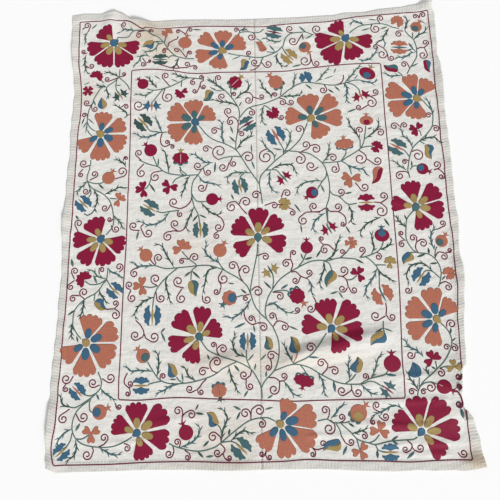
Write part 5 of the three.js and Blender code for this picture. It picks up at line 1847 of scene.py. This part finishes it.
    (446.7, 347.2, 12, 450, 347, 1), (454.6, 348, 12, 453, 343.3, -1),
    (458.5, 376.8, 11, 461.8, 374, -1), (459.3, 386.7, 9, 459, 390.5, 1),
    (459.3, 404.3, 12, 463, 402, -1), (410.8, 355, 14, 415, 353, -1), (63.3, 419, 16, 66, 411.7, 1),
    (83.3, 417, 18, 75.8, 413.5, 1), (87, 455, 17, 93.5, 450.5, -1), (104, 438, 15, 104, 444.5, 1),
    (127, 448.3, 12, 124, 443.5, -1), (119, 406.8, 9, 115.5, 406, 1), (178, 411, 15, 182.8, 413, 1),
    (191.3, 414.8, 15, 184.5, 413.5, -1), (177.2, 442.3, 12, 179.3, 447.3, 1),
    (169, 454, 14, 174, 451, -1), (187.6, 457.3, 10, 189.3, 453.3, -1), (213, 437, 17, 220.5, 437, 1),
    (217.5, 453, 13, 223.5, 453, -1), (229.3, 458, 9, 224.5, 458, 1), (245.3, 413.5, 17, 251, 415.5, 1),
    (259.3, 410.5, 19, 251.5, 409.7, -1), (262, 424, 14, 262, 418.2, -1),
    (262, 454, 10, 266, 451.5, -1), (269.5, 457.3, 9, 265.7, 455.5, 1),
    (312.9, 454.3, 9.5, 315.5, 451.5, -1), (325.3, 410.3, 15, 329, 416, 1),
    (341.8, 417.3, 12, 343, 421.3, 1), (329.3, 428.7, 20, 334.8, 424.5, -1),
    (323, 443.7, 12, 323.5, 448, 1), (351, 442, 12, 345.5, 443, 1), (364.5, 436, 11, 365.5, 432.5, -1),
    (376.5, 405.5, 13, 375.5, 410, -1), (385.5, 416.7, 13, 380, 417.5, 1),
    (373, 422, 9, 371.3, 418.7, 1), (405.5, 449.3, 11, 410.7, 450, -1), (420, 448, 14, 414.5, 450.3, 1),
    (463.5, 453.3, 14, 458, 452.5, 1),
]
CURL_TURNS = 1.3
CURL_HEART = 0.24
CURL_STEPS = 28


def curl_path(row):
    spot, end = on_cloth([(row.u, row.v), (row.end_u, row.end_v)])
    arm = end - spot
    distance = np.linalg.norm(arm)
    radius = min(row.radius * nearness(spot), 0.98 * distance)
    leave = math.atan2(arm[1], arm[0]) + row.way * math.acos(radius / distance)
    share = np.linspace(0, 1, CURL_STEPS)
    reach = radius * (CURL_HEART + (1 - CURL_HEART) * share)
    angle = leave + row.way * 2 * math.pi * CURL_TURNS * (1 - share)
    coil = spot + np.column_stack([reach * np.cos(angle), reach * np.sin(angle)])
    count = max(2, int(np.linalg.norm(end - coil[-1]) / STITCH_STEP) + 1)
    tail = coil[-1] + (end - coil[-1]) * np.linspace(0, 1, count)[1:, None]
    return np.concatenate([coil, tail])


class SUZANI_OT_work_curls(bpy.types.Operator):
    """Work the plum curls"""

    bl_idname = "suzani.work_curls"
    bl_label = "Work Curls"
    bl_options = {"REGISTER", "UNDO"}

    def execute(self, context):
        work = Stitching()
        for row in CURLS:
            line(work, curl_path(Curl(*row)), mm(sizes().curl))
        work.make("curls_plum", "plum")
        return {"FINISHED"}


# Sewing: the seam is whipped, and the hems are held by running stitches just inside their edge

SEAM_PITCH = 9
HEM_PITCH = 12
SEAM_SLANT = 2.5
SEAM_ENDS = (-838, 797)
TUCK_SPAN = (-700, -500)
SEWING_RISE = 0.7


def sew(work, starts, ends):
    """Small stitches, each from one place to another on the cloth."""
    for start, end in zip(starts, ends):
        path = start + (end - start) * np.linspace(0, 1, 4)[:, None]
        line(work, path, mm(sizes().thread), mm(sizes().relief) * SEWING_RISE, taper=1.5)


def hem_stitches():
    """Both ends of each running stitch, along the four hems."""
    inset = mm(sizes().hem_width) + 1
    length = mm(sizes().stitch)
    paths = []
    for table, way in ((BOTTOM_EDGE, 1), (TOP_EDGE, -1)):
        x = np.arange(table[0][0] + 2 * inset, table[-1][0] - 2 * inset, HEM_PITCH)
        for at in (x, x + length):
            paths.append(np.column_stack([at, read_table(table, at) + way * inset]))
    for table, way in ((LEFT_EDGE, 1), (RIGHT_EDGE, -1)):
        y = np.arange(table[0][0] + 2 * inset, table[-1][0] - 2 * inset, HEM_PITCH)
        if way < 0:
            y = y[(y < TUCK_SPAN[0]) | (y > TUCK_SPAN[1])]
        for at in (y, y + length):
            paths.append(np.column_stack([read_table(table, at) + way * inset, at]))
    return np.concatenate(paths[::2]), np.concatenate(paths[1::2])


class SUZANI_OT_sew_cloth(bpy.types.Operator):
    """Whip the seam between the loom widths and sew the hems down"""

    bl_idname = "suzani.sew_cloth"
    bl_label = "Sew Cloth"
    bl_options = {"REGISTER", "UNDO"}

    def execute(self, context):
        y = np.arange(*SEAM_ENDS, SEAM_PITCH)
        half = mm(sizes().stitch) / 2
        seam = Stitching()
        sew(seam, np.column_stack([np.full(len(y), SEAM_X - half), y - SEAM_SLANT]),
            np.column_stack([np.full(len(y), SEAM_X + half), y + SEAM_SLANT]))
        seam.make("seam_stitches", "cream")
        starts, ends = hem_stitches()
        for name, here in (("left", starts[:, 0] < SEAM_X), ("right", starts[:, 0] > SEAM_X)):
            hem = Stitching()
            sew(hem, starts[here], ends[here])
            hem.make("hem_stitches_" + name, "cream")
        return {"FINISHED"}


# The stage

SUN_FROM = (1.2, -2.2, 1.45)
SUN_STRENGTH = 3.15
SUN_SPREAD = 12
FILL_STRENGTH = 0.51
FLOOR_SIZE = 12.0
FLOOR_TOP = -0.0002
FARTHEST_SEEN = 50


class SUZANI_OT_set_stage(bpy.types.Operator):
    """Set the pale floor, the soft lights and the camera"""

    bl_idname = "suzani.set_stage"
    bl_label = "Set Stage"
    bl_options = {"REGISTER", "UNDO"}

    def execute(self, context):
        bpy.ops.mesh.primitive_plane_add(size=FLOOR_SIZE, location=(0, 0, FLOOR_TOP))
        floor = context.object
        floor.name = "floor"
        material, nodes, links, shader = new_material("pale_floor")
        shader.inputs["Base Color"].default_value = (*context.scene.suzani_colours.floor, 1)
        shader.inputs["Roughness"].default_value = 0.9
        floor.data.materials.append(material)

        bpy.ops.object.light_add(type="SUN", location=SUN_FROM)
        key = context.object
        key.name = "low_sun"
        key.data.energy = SUN_STRENGTH
        key.data.angle = math.radians(SUN_SPREAD)
        direction = -key.location
        key.rotation_euler = direction.to_track_quat("-Z", "Y").to_euler()

        world = bpy.data.worlds.new("soft_daylight")
        context.scene.world = world
        world.use_nodes = True
        sky = world.node_tree.nodes["Background"]
        sky.inputs["Color"].default_value = (1, 1, 1, 1)
        sky.inputs["Strength"].default_value = FILL_STRENGTH

        turn = [math.radians(angle) for angle in CAMERA_TURN]
        place = [c * MM for c in CAMERA_PLACE]
        bpy.ops.object.camera_add(location=place, rotation=turn)
        camera = context.object
        camera.name = "photo_camera"
        camera.data.sensor_width = SENSOR_WIDTH
        camera.data.lens = SENSOR_WIDTH * LENS_PIXELS / PHOTO_SIDE
        camera.data.clip_end = FARTHEST_SEEN
        context.scene.camera = camera
        context.scene.view_settings.view_transform = "Standard"
        return {"FINISHED"}


class SUZANI_PT_making(bpy.types.Panel):
    """Steps, sizes and colours of the suzani"""

    bl_label = "Suzani"
    bl_idname = "SUZANI_PT_making"
    bl_space_type = "VIEW_3D"
    bl_region_type = "UI"
    bl_category = "Suzani"

    def draw(self, context):
        layout = self.layout
        for step in STEPS:
            layout.operator(step.bl_idname)
        for group in (context.scene.suzani_sizes, context.scene.suzani_colours):
            box = layout.box()
            for name in group.__annotations__:
                box.prop(group, name)


STEPS = (
    SUZANI_OT_lay_ground,
    SUZANI_OT_work_frames,
    SUZANI_OT_work_rosettes,
    SUZANI_OT_work_fruit,
    SUZANI_OT_work_tulips,
    SUZANI_OT_work_flowers,
    SUZANI_OT_work_buds,
    SUZANI_OT_work_vines,
    SUZANI_OT_work_curls,
    SUZANI_OT_sew_cloth,
    SUZANI_OT_set_stage,
)
CLASSES = (SuzaniSizes, SuzaniColours, *STEPS, SUZANI_PT_making)


def register():
    for cls in CLASSES:
        bpy.utils.register_class(cls)
    bpy.types.Scene.suzani_sizes = PointerProperty(type=SuzaniSizes)
    bpy.types.Scene.suzani_colours = PointerProperty(type=SuzaniColours)


def unregister():
    del bpy.types.Scene.suzani_colours
    del bpy.types.Scene.suzani_sizes
    for cls in reversed(CLASSES):
        bpy.utils.unregister_class(cls)


def declare_sheets():
    """Looks up each loom width and the sewing stitches that go with it, and does nothing more with
    them.
    """
    sewing = {"left": ["hem_stitches_left", "seam_stitches"], "right": ["hem_stitches_right"]}
    for side, names in sewing.items():
        bpy.data.objects["cotton_" + side]
        [bpy.data.objects[name] for name in names]


def main():
    register()
    bpy.ops.object.select_all(action="DESELECT")
    bpy.ops.suzani.lay_ground()
    bpy.ops.suzani.work_frames()
    bpy.ops.suzani.work_rosettes()
    bpy.ops.suzani.work_fruit()
    bpy.ops.suzani.work_tulips()
    bpy.ops.suzani.work_flowers()
    bpy.ops.suzani.work_buds()
    bpy.ops.suzani.work_vines()
    bpy.ops.suzani.work_curls()
    bpy.ops.suzani.sew_cloth()
    bpy.ops.suzani.set_stage()
    declare_sheets()


if __name__ == "__main__":
    main()
